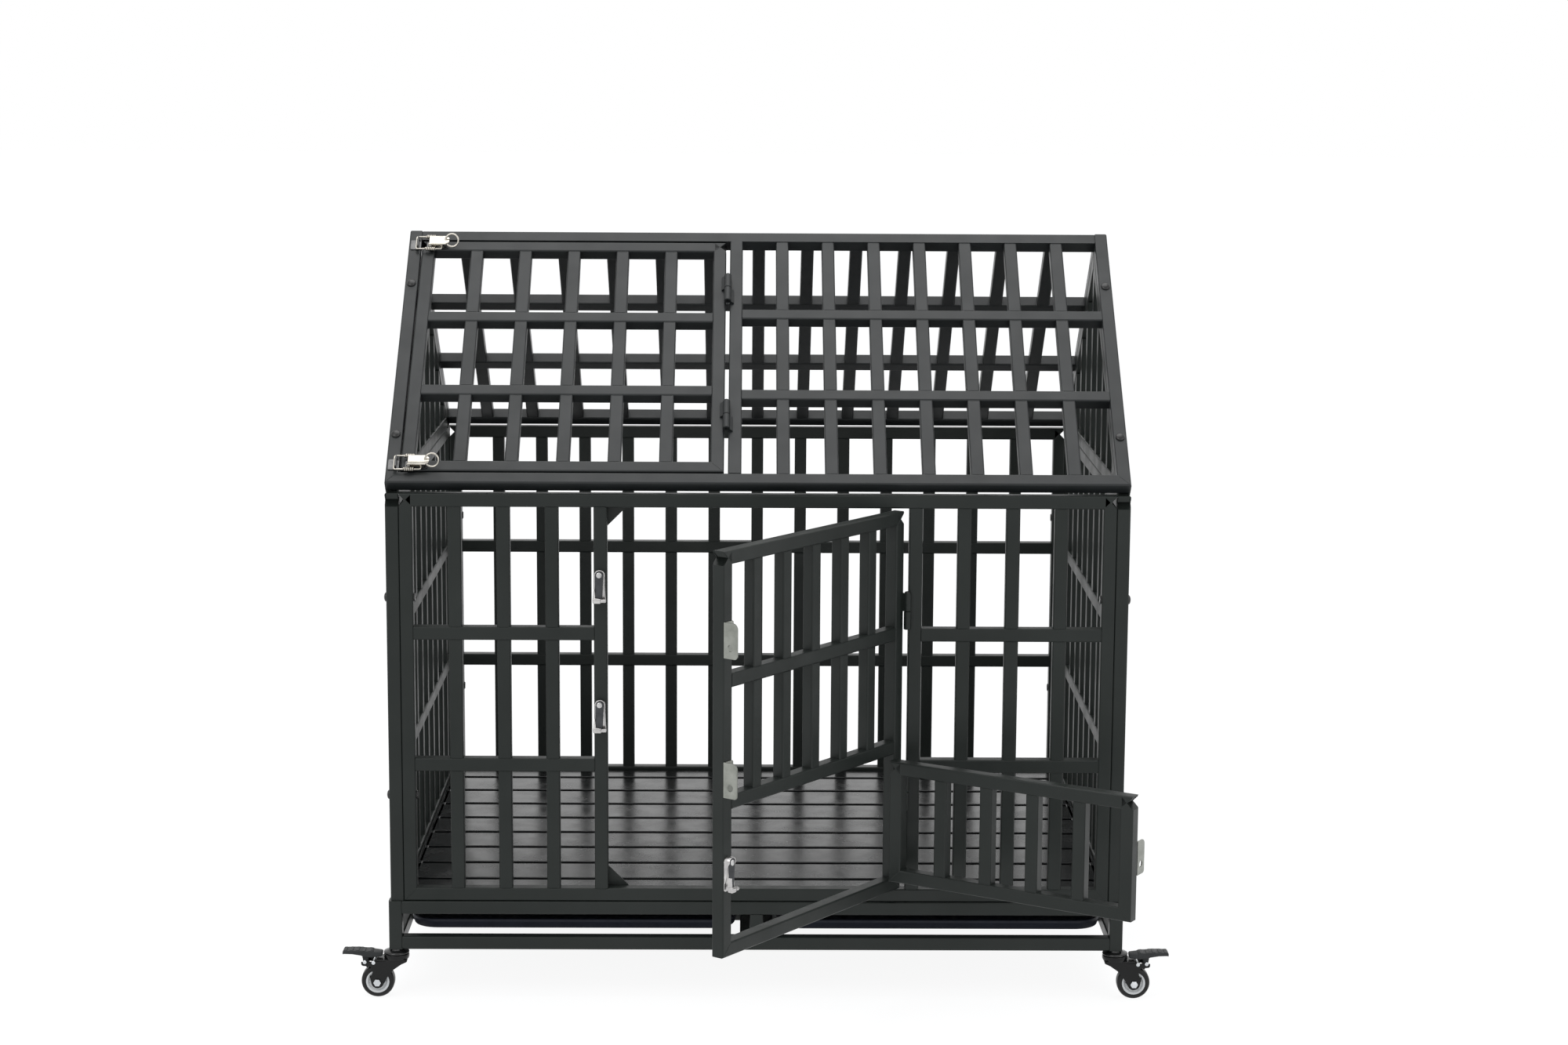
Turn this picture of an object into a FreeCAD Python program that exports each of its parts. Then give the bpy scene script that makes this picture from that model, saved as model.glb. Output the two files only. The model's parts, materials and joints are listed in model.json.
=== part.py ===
"""Heavy duty dog crate on braked casters: a cabin of welded square tube with a pitched roof,
a front door that holds a smaller door, a roof door with two toggle latches, and two trays.

Millimetres. X runs to the right, Y to the back and Z up. Z = 0 is the ground, X = 0 the middle
of the crate, and crate_centre is the Y of its middle.
"""
import FreeCAD, Part
import math
import os
import re
import Sketcher

V = FreeCAD.Vector
doc = FreeCAD.newDocument("dog_crate")

# Driving dimensions, in millimetres, degrees and plain counts.
SIZES = {
    # square tube and the bars welded into it
    "tube": 20,
    "bar_width": 20,
    "bar_depth": 18,
    # cabin
    "crate_length": 1100,
    "crate_depth": 780,
    "crate_centre": 179.3,
    "panel_height": 620,
    "panel_rows": 3,
    "back_bars": 13,
    "side_bars": 9,
    "bay_bars": 3,
    # base frame, floor and casters
    "caster_height": 75,
    "base_height": 75,
    "base_overhang": 3,
    "runner_width": 50,
    "bearer_pitch": 230,
    "floor_thickness": 14,
    "floor_slots": 8,
    "slot_pitch": 90,
    "slot_width": 12,
    "floor_clearance": 0.4,
    # roof
    "eave_lift": 17,
    "roof_rise": 342,
    "roof_rows": 3,
    "roof_bars": 7,
    "roof_back_bars": 13,
    "roof_door_bars": 5,
    "roof_post": 35.2,
    "gable_clearance": 0.2,
    # doors and hinges
    "door_opening": 446,
    "door_gap": 3,
    "door_proud": 0.5,
    "door_bars": 5,
    "door_row": 172,
    "small_door_bars": 4,
    "roof_door_gap": 6,
    "roof_latch_gap": 1.5,
    "roof_end_gap": 2.5,
    "hinge_proud": 6.5,
    "knuckle_radius": 5.5,
    "knuckle_length": 27,
    "small_knuckle": 21,
    "knuckle_gap": 0.6,
    "hinge_pin_radius": 2.5,
    "pin_fit": 0.05,
    "main_hinge_drop": 145,
    "small_hinge_drop": 24,
    "roof_hinge_inset": 81,
    "main_door_angle": 53.3,
    "small_door_angle": 95,
    "gusset": 30,
    "gusset_thickness": 2.5,
    # turning latches of the two front doors
    "latch_upper_drop": 120,
    "latch_lower_drop": 316,
    "small_latch_drop": 69,
    "latch_offset": 11.7,
    "latch_reach": 38,
    "latch_pin_radius": 3,
    "latch_pin_length": 10.2,
    "latch_stand": 7.2,
    "latch_sheet": 1.5,
    "lever_sheet": 2,
    "lever_radius": 6.3,
    "rivet_radius": 2,
    "strike_stand": 23,
    "strike_sheet": 2,
    "strike_hole_radius": 5,
    "strike_hole_out": 12,
    "strike_above_hole": 35,
    "strike_below_hole": 15,
    "strike_rise": 2.3,
    # toggle latches of the roof door
    "toggle_pivot_inset": 13,
    "toggle_height": 8,
    "toggle_half_width": 9,
    "toggle_sheet": 1.5,
    "toggle_ear": 2.6,
    "toggle_rod_radius": 1.5,
    "lever_roof": 3,
    "lever_tail": -1,
    "lever_length": 30,
    "bail_arm": 18,
    "bail_drop": 2,
    "wire_radius": 1.2,
    "hook_spread": 13,
    "bail_reach": 39.9,
    "keeper_gap": 0.5,
    "ring_hole": 24,
    "ring_hole_radius": 3.5,
    "ring_radius": 9.9,
    "ring_wire": 1.6,
    # fasteners
    "bolt_radius": 4,
    "bolt_head_radius": 7,
    "bolt_head_height": 4,
    "bolt_upper": 463,
    "bolt_lower": 162,
    "roof_bolt_low": 93,
    "roof_bolt_high": 404,
    # trays
    "tray_inner": 30,
    "tray_length": 494,
    "tray_inset": 22,
    "tray_depth": 730,
    "tray_height": 16,
    "tray_floor_inset": 32,
    "tray_corner": 40,
    "tray_wall": 2.5,
    "tray_clearance": 0.4,
    # casters
    "wheel_radius": 25,
    "wheel_width": 22,
    "hub_radius": 17.5,
    "axle_radius": 3,
    "axle_offset": 28,
    "race_radius": 19.3,
    "race_gap": 0.4,
    "stem_radius": 5,
    "stem_length": 30,
    "fork_sheet": 2.5,
    "fork_inner": 12.6,
    "pedal_pivot": 46.6,
}

NAMES = re.compile(r"[A-Za-z_]\w*")


def expr(text):
    """Give an expression in which each size is read from the sheet."""
    return NAMES.sub(lambda hit: "Sheet." + hit.group() if hit.group() in SIZES else hit.group(), str(text))


sheet = doc.addObject("Spreadsheet::Sheet", "Sheet")
for row, (alias, value) in enumerate(SIZES.items(), start=1):
    sheet.set("A%d" % row, alias)
    sheet.set("B%d" % row, str(value))
    sheet.setAlias("B%d" % row, alias)
doc.recompute()

PARTS = []


def value_of(text):
    """Give the present number of an expression."""
    found = sheet.evalExpression(expr(text).replace("Sheet.", ""))
    return float(getattr(found, "Value", found))


def new_body(label, x="0", y="0", z="0", axis=None, angle="0"):
    """Make a named sub-part whose own origin is placed at x, y, z and turned about an axis."""
    body = doc.addObject("PartDesign::Body", label)
    body.Label = label
    if axis is not None:
        body.Placement = FreeCAD.Placement(V(0, 0, 0), FreeCAD.Rotation(V(*axis), 10))
        body.setExpression("Placement.Rotation.Angle", expr(angle))
    for letter, place in zip("xyz", (x, y, z)):
        body.setExpression("Placement.Base." + letter, expr(place))
    PARTS.append(body)
    return body


def origin_feature(body, role):
    """Find a body's own origin plane or axis."""
    return [item for item in body.Origin.OriginFeatures if item.Role == role][0]


def hold(sketch, kind, first, first_end, second, second_end, size):
    """Add one driving distance to a sketch and bind it to the sheet."""
    index = sketch.addConstraint(Sketcher.Constraint(kind, first, first_end, second, second_end, value_of(size)))
    sketch.setExpression("Constraints[%d]" % index, expr(size))


def add_loop(sketch, points):
    """Draw a closed outline whose corners are all measured from the sketch's origin."""
    base = sketch.GeometryCount
    places = [V(value_of(x), value_of(y), 0) for x, y in points]
    count = len(points)
    for index in range(count):
        sketch.addGeometry(Part.LineSegment(places[index], places[(index + 1) % count]), False)
    for index in range(count):
        following = base + (index + 1) % count
        sketch.addConstraint(Sketcher.Constraint("Coincident", base + index, 2, following, 1))
    for index, (x, y) in enumerate(points):
        hold(sketch, "DistanceX", -1, 1, base + index, 1, x)
        hold(sketch, "DistanceY", -1, 1, base + index, 1, y)


def add_circle(sketch, x, y, radius):
    """Draw a circle about a point measured from the sketch's origin."""
    index = sketch.GeometryCount
    sketch.addGeometry(Part.Circle(V(value_of(x), value_of(y), 0), V(0, 0, 1), value_of(radius)), False)
    hold(sketch, "DistanceX", -1, 1, index, 3, x)
    hold(sketch, "DistanceY", -1, 1, index, 3, y)
    line = sketch.addConstraint(Sketcher.Constraint("Radius", index, value_of(radius)))
    sketch.setExpression("Constraints[%d]" % line, expr(radius))


def box_loop(x0, y0, x1, y1):
    """Give the four corners of an upright rectangle."""
    return [(x0, y0), (x1, y0), (x1, y1), (x0, y1)]


def add_round_box(sketch, half_x, half_y, radius):
    """Draw a rectangle about the sketch's origin with rounded corners."""
    base = sketch.GeometryCount
    inner_x = "(%s - %s)" % (half_x, radius)
    inner_y = "(%s - %s)" % (half_y, radius)
    corners = [("", "-"), ("", ""), ("-", ""), ("-", "-")]
    centres = [V(value_of(sign_x + inner_x), value_of(sign_y + inner_y), 0) for sign_x, sign_y in corners]
    for turn, (sign_x, sign_y) in enumerate(corners):
        centre = centres[turn]
        start = math.radians(90 * turn - 90)
        outward = V(math.cos(start + math.pi / 2), math.sin(start + math.pi / 2), 0) * value_of(radius)
        circle = Part.Circle(centre, V(0, 0, 1), value_of(radius))
        sketch.addGeometry(Part.ArcOfCircle(circle, start, start + math.pi / 2), False)
        arc = base + 2 * turn
        hold(sketch, "DistanceX", -1, 1, arc, 3, sign_x + inner_x)
        hold(sketch, "DistanceY", -1, 1, arc, 3, sign_y + inner_y)
        side = Part.LineSegment(centre + outward, centres[(turn + 1) % 4] + outward)
        sketch.addGeometry(side, False)
    for turn in range(4):
        arc = base + 2 * turn
        following = base + (2 * turn + 2) % 8
        sketch.addConstraint(Sketcher.Constraint("Coincident", arc, 2, arc + 1, 1))
        sketch.addConstraint(Sketcher.Constraint("Coincident", arc + 1, 2, following, 1))
    for turn in range(4):
        arc = base + 2 * turn
        size = sketch.addConstraint(Sketcher.Constraint("Radius", arc, value_of(radius)))
        sketch.setExpression("Constraints[%d]" % size, expr(radius))
    for turn in range(4):
        start, end = ("Vertical", "Horizontal") if turn % 2 == 0 else ("Horizontal", "Vertical")
        arc = base + 2 * turn
        sketch.addConstraint(Sketcher.Constraint(start, arc, 1, arc, 3))
        sketch.addConstraint(Sketcher.Constraint(end, arc, 2, arc, 3))


def new_sketch(body, name, role, height="0"):
    """Start a sketch on a body's origin plane, raised along its normal."""
    sketch = body.newObject("Sketcher::SketchObject", name)
    sketch.AttachmentSupport = (origin_feature(body, role), [""])
    sketch.MapMode = "FlatFace"
    sketch.setExpression("AttachmentOffset.Base.z", expr(height))
    return sketch


def slab(body, name, role, loops, low, high, cut=False, taper=None):
    """Add or cut what lies between two parallel planes inside the loops of one sketch.

    The loops lie in the plane that role names, and low and high are measured along its normal
    axis: X for YZ_Plane, Y for XZ_Plane and Z for XY_Plane.
    """
    sketch = new_sketch(body, name + "_sketch", role, "-(%s)" % high if role == "XZ_Plane" else low)
    for loop in loops:
        if len(loop) == 3 and not isinstance(loop[0], tuple):
            add_circle(sketch, *loop)
        else:
            add_loop(sketch, loop)
    feature = body.newObject("PartDesign::Pocket" if cut else "PartDesign::Pad", name)
    feature.Profile = sketch
    feature.Reversed = cut
    feature.setExpression("Length", expr("(%s) - (%s)" % (high, low)))
    if taper is not None:
        feature.setExpression("TaperAngle", expr(taper))
    return feature


def pattern(body, name, features, role, count, length):
    """Repeat features along one of the body's axes, count times over a length."""
    repeated = body.newObject("PartDesign::LinearPattern", name)
    repeated.Originals = features
    repeated.Direction = (origin_feature(body, role), [""])
    repeated.setExpression("Length", expr(length))
    repeated.setExpression("Occurrences", expr(count))
    body.Tip = repeated
    return repeated


def mirror(body, name, features, role):
    """Repeat features on the other side of one of the body's origin planes."""
    repeated = body.newObject("PartDesign::Mirrored", name)
    repeated.Originals = features
    repeated.MirrorPlane = (origin_feature(body, role), [""])
    body.Tip = repeated
    return repeated


def revolve(body, name, loops, cut=False):
    """Turn loops drawn in the XZ plane a full turn about the body's Z axis."""
    sketch = new_sketch(body, name + "_sketch", "XZ_Plane")
    for loop in loops:
        add_loop(sketch, loop)
    feature = body.newObject("PartDesign::Groove" if cut else "PartDesign::Revolution", name)
    feature.Profile = sketch
    feature.ReferenceAxis = (origin_feature(body, "Z_Axis"), [""])
    feature.Angle = 360
    return feature


def round_edges(body, name, radius, chosen):
    """Round the edges of the body's present solid that a test picks."""
    doc.recompute()
    tip = body.Tip
    picked = ["Edge%d" % (number + 1) for number, edge in enumerate(tip.Shape.Edges) if chosen(edge)]
    feature = body.newObject("PartDesign::Fillet", name)
    feature.Base = (tip, picked)
    feature.setExpression("Radius", expr(radius))
    return feature


def along(edge, direction):
    """Tell whether an edge is a straight line along a direction."""
    if not isinstance(edge.Curve, Part.Line):
        return False
    return abs(abs(edge.Curve.Direction.dot(V(*direction))) - 1) < 1e-6


# Derived places that several sub-parts share.
BASE_TOP = "(caster_height + base_height)"
PANEL_LENGTH = "(crate_length - 2 * tube)"
PANEL_TOP = "(caster_height + base_height + panel_height)"
ROW = "((panel_height - tube) / panel_rows)"
HALF_DEPTH = "(crate_depth / 2)"
FRONT = "(crate_centre - crate_depth / 2)"
BAR_INSET = "((tube - bar_depth) / 2)"
SLOPE = "sqrt((crate_depth / 2)^2 + roof_rise^2)"
LEAN = "atan((crate_depth / 2) / roof_rise)"
PITCH_TAN = "(roof_rise / (crate_depth / 2))"
PIN_X = "(door_opening / 2 - door_gap / 2)"
PIN_Y = "(crate_centre - crate_depth / 2 - hinge_proud)"


def windows(body, name, role, x0, x1, rows, row_pitch, low, high):
    """Cut a column of equal openings between the rails of a frame."""
    opening = slab(body, name, role, [box_loop(x0, "tube", x1, row_pitch)], low, high, cut=True)
    pattern(body, name + "_column", [opening], "Z_Axis", rows, "(%s) * ((%s) - 1)" % (row_pitch, rows))


def bars(body, name, role, axis, first, last, count, z0, z1, low, high):
    """Stand bars evenly between two stile centres first and last."""
    step = "(((%s) - (%s)) / ((%s) + 1))" % (last, first, count)
    left = "(%s) + %s - bar_width / 2" % (first, step)
    right = "(%s) + %s + bar_width / 2" % (first, step)
    bar = slab(body, name, role, [box_loop(left, z0, right, z1)], low, high)
    pattern(body, name + "_row", [bar], axis, count, "%s * ((%s) - 1)" % (step, count))


def repeat_whole(body, name, role, count, length):
    """Repeat the body's whole present shape along one of its axes."""
    doc.recompute()
    repeated = body.newObject("PartDesign::LinearPattern", name)
    repeated.TransformMode = "Whole shape"
    repeated.Direction = (origin_feature(body, role), [""])
    repeated.setExpression("Length", expr(length))
    repeated.setExpression("Occurrences", expr(count))
    body.Tip = repeated
    return repeated


def disc(body, name, role, x, y, radius, low, high, cut=False):
    """Add or cut one round slice."""
    return slab(body, name, role, [(x, y, radius)], low, high, cut=cut)


def front_knuckle(body, name, x, y, low, high, side, seat):
    """Weld one upright hinge knuckle beside a stile, with a tab reaching back to the stile's metal."""
    disc(body, name, "XY_Plane", x, y, "knuckle_radius", low, high)
    inner = "(%s) + %d * (door_gap / 2 + 0.2)" % (x, side)
    edge = "(%s) + %d * knuckle_radius" % (x, side)
    left, right = (inner, edge) if side > 0 else (edge, inner)
    slab(body, name + "_tab", "XY_Plane", [box_loop(left, y, right, seat)], low, high)


# Base frame: two rings of tube, corner legs, middle posts, bearers and the tray runner.
def make_base_frame():
    body = new_body("base_frame", y="crate_centre")
    half_x = "(crate_length / 2 + base_overhang)"
    half_y = "(crate_depth / 2 + base_overhang)"
    outer = box_loop("-" + half_x, "-" + half_y, half_x, half_y)
    inner = box_loop("-(%s - tube)" % half_x, "-(%s - tube)" % half_y, half_x + " - tube", half_y + " - tube")
    ring = slab(body, "lower_ring", "XY_Plane", [outer, inner], "caster_height", "caster_height + tube")
    pattern(body, "rings", [ring], "Z_Axis", "2", "base_height - tube")
    leg = slab(body, "leg", "XY_Plane", [box_loop(half_x + " - tube", half_y + " - tube", half_x, half_y)],
               "caster_height", BASE_TOP)
    pair = mirror(body, "leg_pair", [leg], "YZ_Plane")
    far_leg = slab(body, "far_leg", "XY_Plane",
                   [box_loop(half_x + " - tube", "-" + half_y, half_x, "-(%s - tube)" % half_y)],
                   "caster_height", BASE_TOP)
    mirror(body, "far_leg_pair", [far_leg], "YZ_Plane")
    post = slab(body, "middle_post", "XY_Plane",
                [box_loop("-tube / 2", half_y + " - tube", "tube / 2", half_y)], "caster_height", BASE_TOP)
    mirror(body, "middle_posts", [post], "XZ_Plane")
    slab(body, "floor_bearer", "XY_Plane",
         [box_loop("-tube / 2", "-(%s - tube)" % half_y, "tube / 2", half_y + " - tube")],
         BASE_TOP + " - tube", BASE_TOP)
    side = slab(body, "side_bearer", "XY_Plane",
                [box_loop(half_x + " - 2 * tube", "-(%s - tube)" % half_y, half_x + " - tube", half_y + " - tube")],
                BASE_TOP + " - tube", BASE_TOP)
    mirror(body, "side_bearers", [side], "YZ_Plane")
    slab(body, "tray_runner", "XY_Plane",
         [box_loop("-runner_width / 2", "-(%s - tube)" % half_y, "runner_width / 2", half_y + " - tube")],
         "caster_height", "caster_height + tube")
    bearer = slab(body, "tray_bearer", "XY_Plane",
                  [box_loop("-(%s - tube)" % half_x, "-(bearer_pitch + tube / 2)", half_x + " - tube",
                            "-(bearer_pitch - tube / 2)")],
                  "caster_height", "caster_height + tube")
    pattern(body, "tray_bearers", [bearer], "Y_Axis", "3", "2 * bearer_pitch")
    stem_x = "(%s - tube / 2)" % half_x
    stem_y = "(%s - tube / 2)" % half_y
    hole = "stem_radius + pin_fit"
    slab(body, "stem_bores", "XY_Plane",
         [("-" + stem_x, "-" + stem_y, hole), (stem_x, "-" + stem_y, hole), ("-" + stem_x, stem_y, hole),
          (stem_x, stem_y, hole)], "caster_height - 1", "caster_height + stem_length + 1", cut=True)
    return body


# Floor grate: a plate of wide slats with open slots between them.
def make_floor_grate():
    body = new_body("floor_grate", y="crate_centre", z=BASE_TOP)
    half_x = "(crate_length / 2 - tube - floor_clearance)"
    half_y = "(crate_depth / 2 - tube - gusset_thickness - floor_clearance)"
    outline = box_loop("-" + half_x, "-" + half_y, half_x, half_y)
    slab(body, "plate", "XY_Plane", [outline], "0", "floor_thickness")
    first = "-(slot_pitch * (floor_slots - 1) / 2)"
    slot = slab(body, "slot", "XY_Plane",
                [box_loop("-(%s - tube / 2)" % half_x, first + " - slot_width / 2",
                          half_x + " - tube / 2", first + " + slot_width / 2")],
                "-1", "floor_thickness + 1", cut=True)
    pattern(body, "slots", [slot], "Y_Axis", "floor_slots", "slot_pitch * (floor_slots - 1)")
    return body


# Front panel: two barred bays either side of the door opening.
def make_front_panel():
    body = new_body("front_panel", y=FRONT, z=BASE_TOP)
    half = "(%s / 2)" % PANEL_LENGTH
    jamb = "(door_opening / 2 + tube)"
    slab(body, "frame", "XZ_Plane", [box_loop("-" + half, "0", half, "panel_height")], "0", "tube")
    windows(body, "left_window", "XZ_Plane", "-(%s - tube)" % half, "-" + jamb, "panel_rows", ROW, "-1", "tube + 1")
    windows(body, "right_window", "XZ_Plane", jamb, half + " - tube", "panel_rows", ROW, "-1", "tube + 1")
    slab(body, "doorway", "XZ_Plane",
         [box_loop("-door_opening / 2", "tube", "door_opening / 2", "panel_height - tube")],
         "-1", "tube + 1", cut=True)
    stile = "(%s - tube / 2)" % half
    post = "(door_opening / 2 + tube / 2)"
    bars(body, "left_bar", "XZ_Plane", "X_Axis", "-" + stile, "-" + post, "bay_bars",
         "tube / 2", "panel_height - tube / 2", BAR_INSET, "tube - " + BAR_INSET)
    bars(body, "right_bar", "XZ_Plane", "X_Axis", post, stile, "bay_bars",
         "tube / 2", "panel_height - tube / 2", BAR_INSET, "tube - " + BAR_INSET)
    corner = "-(door_opening / 2)"
    top = "panel_height - tube"
    slab(body, "top_gusset", "XZ_Plane",
         [[(corner + " - tube / 2", top + " - gusset"), (corner, top + " - gusset"), (corner + " + gusset", top),
           (corner + " + gusset", top + " + tube / 2"), (corner + " - tube / 2", top + " + tube / 2")]],
         "tube", "tube + gusset_thickness")
    slab(body, "bottom_gusset", "XZ_Plane",
         [[(corner + " - tube / 2", "tube / 2"), (corner + " + gusset", "tube / 2"), (corner + " + gusset", "tube"),
           (corner, "tube + gusset"), (corner + " - tube / 2", "tube + gusset")]],
         "tube", "tube + gusset_thickness")
    bolt_bores(body, half, "tube / 2")
    for name, top in main_hinge_tops():
        low = "(%s - 2 * knuckle_length - knuckle_gap)" % top
        high = "(%s - knuckle_length - knuckle_gap)" % top
        front_knuckle(body, name + "_knuckle", PIN_X, "-hinge_proud", low, high, 1, "tube / 2")
        disc(body, name + "_bore", "XY_Plane", PIN_X, "-hinge_proud", "hinge_pin_radius + pin_fit", low, high, cut=True)
    return body


def bolt_bores(body, half, y):
    """Cut the four bolt bores into the end stiles of the front or the back panel."""
    loops = [(y, "bolt_lower", "bolt_radius + pin_fit"), (y, "bolt_upper", "bolt_radius + pin_fit")]
    slab(body, "left_bores", "YZ_Plane", loops, "-(%s + 1)" % half, "-(%s - tube - 1)" % half, cut=True)
    slab(body, "right_bores", "YZ_Plane", loops, "%s - tube - 1" % half, half + " + 1", cut=True)


def main_hinge_tops():
    """Give each main hinge's name and the height of its top above the panel's foot."""
    upper = "(panel_height - main_hinge_drop)"
    lower = "(main_hinge_drop + 2 * knuckle_length + knuckle_gap)"
    return [("upper_hinge", upper), ("lower_hinge", lower)]


# Back panel: one field of bars.
def make_back_panel():
    body = new_body("back_panel", y="crate_centre + crate_depth / 2", z=BASE_TOP)
    half = "(%s / 2)" % PANEL_LENGTH
    slab(body, "frame", "XZ_Plane", [box_loop("-" + half, "0", half, "panel_height")], "-tube", "0")
    windows(body, "window", "XZ_Plane", "-(%s - tube)" % half, half + " - tube", "panel_rows", ROW, "-tube - 1", "1")
    stile = "(%s - tube / 2)" % half
    bars(body, "bar", "XZ_Plane", "X_Axis", "-" + stile, stile, "back_bars",
         "tube / 2", "panel_height - tube / 2", "-tube + " + BAR_INSET, "-" + BAR_INSET)
    bolt_bores(body, half, "-tube / 2")
    return body


def make_side_panel(label, side):
    body = new_body(label, x="%d * crate_length / 2" % side, y="crate_centre", z=BASE_TOP)
    low, high = ("0", "tube") if side < 0 else ("-tube", "0")
    slab(body, "frame", "YZ_Plane", [box_loop("-" + HALF_DEPTH, "0", HALF_DEPTH, "panel_height")], low, high)
    windows(body, "window", "YZ_Plane", "-(%s - tube)" % HALF_DEPTH, HALF_DEPTH + " - tube", "panel_rows", ROW,
            low + " - 1", high + " + 1")
    stile = "(%s - tube / 2)" % HALF_DEPTH
    bars(body, "bar", "YZ_Plane", "Y_Axis", "-" + stile, stile, "side_bars",
         "tube / 2", "panel_height - tube / 2", low + " + " + BAR_INSET, high + " - " + BAR_INSET)
    loops = []
    for y in ("-" + stile, stile):
        for z in ("bolt_lower", "bolt_upper"):
            loops.append((y, z, "bolt_radius + pin_fit"))
    slab(body, "bolt_bores", "YZ_Plane", loops, low + " - 1", high + " + 1", cut=True)
    return body


# Gables: a triangle of tube under the slope of the roof, filled with upright bars.
def make_gable(label, side):
    body = new_body(label, x="%d * crate_length / 2" % side, y="crate_centre", z=PANEL_TOP)
    low, high = ("0", "tube") if side < 0 else ("-tube", "0")
    drop = "(tube / cos(atan(%s)))" % PITCH_TAN
    apex = "(eave_lift + roof_rise - %s - gable_clearance)" % drop
    foot = "(%s / %s)" % (apex, PITCH_TAN)
    stile = "(%s - tube / 2)" % HALF_DEPTH
    bars(body, "bar", "YZ_Plane", "Y_Axis", "-" + stile, stile, "side_bars",
         "tube / 2", apex, low + " + " + BAR_INSET, high + " - " + BAR_INSET)
    for name, way in (("front_trim", "-"), ("back_trim", "")):
        slab(body, name, "YZ_Plane",
             [[(way + "(%s - 2)" % foot, "0"), (way + "(%s + tube)" % HALF_DEPTH, "0"),
               (way + "(%s + tube)" % HALF_DEPTH, apex + " + tube"), ("0", apex + " + tube"),
               ("0", apex + " - 2 * " + PITCH_TAN)]],
             low, high, cut=True)
    inner_apex = "(%s - %s)" % (apex, drop)
    inner_foot = "((%s - tube) / %s)" % (inner_apex, PITCH_TAN)
    slab(body, "frame", "YZ_Plane",
         [[("-" + foot, "0"), (foot, "0"), ("0", apex)],
          [("-" + inner_foot, "tube"), (inner_foot, "tube"), ("0", inner_apex)]],
         low, high)
    reach = "(bolt_radius + 0.1)"
    middle = "tube / 2" if side < 0 else "-tube / 2"
    for name, way in (("front", "-"), ("back", "")):
        for place in ("roof_bolt_low", "roof_bolt_high"):
            corners = []
            for shift, depth in ((" - " + reach, "tube - 1"), (" + " + reach, "tube - 1"),
                                 (" + " + reach, "1.9 * tube"), (" - " + reach, "1.9 * tube")):
                up_slope = "(%s%s)" % (place, shift)
                y = "%s(%s - %s * %s / %s - (%s) * roof_rise / %s)" % (
                    way, HALF_DEPTH, up_slope, HALF_DEPTH, SLOPE, depth, SLOPE)
                z = "eave_lift + %s * roof_rise / %s - (%s) * %s / %s" % (up_slope, SLOPE, depth, HALF_DEPTH, SLOPE)
                corners.append((y, z))
            slab(body, "%s_%s_hole" % (name, place), "YZ_Plane", [corners],
                 middle + " - " + reach, middle + " + " + reach, cut=True)
    return body


def mitre(body, low, high, way):
    """Cut the top edge of a roof panel to the upright plane through the ridge."""
    slab(body, "ridge_mitre", "YZ_Plane",
         [[("0", SLOPE), ("%s(tube + 5)" % way, "%s - (tube + 5) * %s" % (SLOPE, PITCH_TAN)),
           ("%s(tube + 5)" % way, SLOPE + " + tube"), ("0", SLOPE + " + tube")]],
         low, high, cut=True)


def roof_bores(body, half, low, high):
    """Cut the screw bores into the end stiles of one half of the roof."""
    loops = []
    for x in ("-(%s - tube / 2)" % half, half + " - tube / 2"):
        for z in ("roof_bolt_low", "roof_bolt_high"):
            loops.append((x, z, "bolt_radius + pin_fit"))
    slab(body, "screw_bores", "XZ_Plane", loops, low, high, cut=True)


ROOF_ROW = "((%s - tube) / roof_rows)" % SLOPE
DOOR_LEFT = "(-(crate_length / 2 - tube - roof_latch_gap))"
DOOR_RIGHT = "(-(roof_post + tube / 2 + roof_door_gap))"
ROOF_PIN_X = "(-(roof_post + tube / 2 + roof_door_gap / 2))"
ROOF_DOOR_LOW = "(tube + roof_end_gap)"
ROOF_DOOR_HIGH = "(%s - tube - roof_end_gap)" % SLOPE


def roof_hinge_places():
    """Give each roof hinge's name and the slope distance of its lower end."""
    length = "(2 * knuckle_length + knuckle_gap)"
    return [("lower_hinge", "(tube + roof_hinge_inset)"), ("upper_hinge", "(%s - tube - roof_hinge_inset - %s)" % (SLOPE, length))]


# Front half of the roof: the right part is barred, and the left part is open for the roof door.
def make_roof_front_frame():
    body = new_body("roof_front_frame", y=FRONT, z=PANEL_TOP + " + eave_lift", axis=(-1, 0, 0), angle=LEAN)
    half = "(crate_length / 2)"
    slab(body, "frame", "XZ_Plane", [box_loop("-" + half, "0", half, SLOPE)], "0", "tube")
    slab(body, "roof_doorway", "XZ_Plane",
         [box_loop("-(%s - tube)" % half, "tube", "-(roof_post + tube / 2)", SLOPE + " - tube")],
         "-1", "tube + 1", cut=True)
    windows(body, "window", "XZ_Plane", "-(roof_post - tube / 2)", half + " - tube", "roof_rows", ROOF_ROW,
            "-1", "tube + 1")
    bars(body, "bar", "XZ_Plane", "X_Axis", "-roof_post", half + " - tube / 2", "roof_bars",
         "tube / 2", SLOPE + " - tube / 2", BAR_INSET, "tube - " + BAR_INSET)
    mitre(body, "-" + half, half, "")
    roof_bores(body, half, "-1", "tube + 1")
    for name, low in roof_hinge_places():
        high = low + " + knuckle_length"
        knuckle_on_roof(body, name, ROOF_PIN_X, "-hinge_proud", low, high, 1)
        disc(body, name + "_bore", "XY_Plane", ROOF_PIN_X, "-hinge_proud", "hinge_pin_radius + pin_fit", low, high,
             cut=True)
    return body


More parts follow.
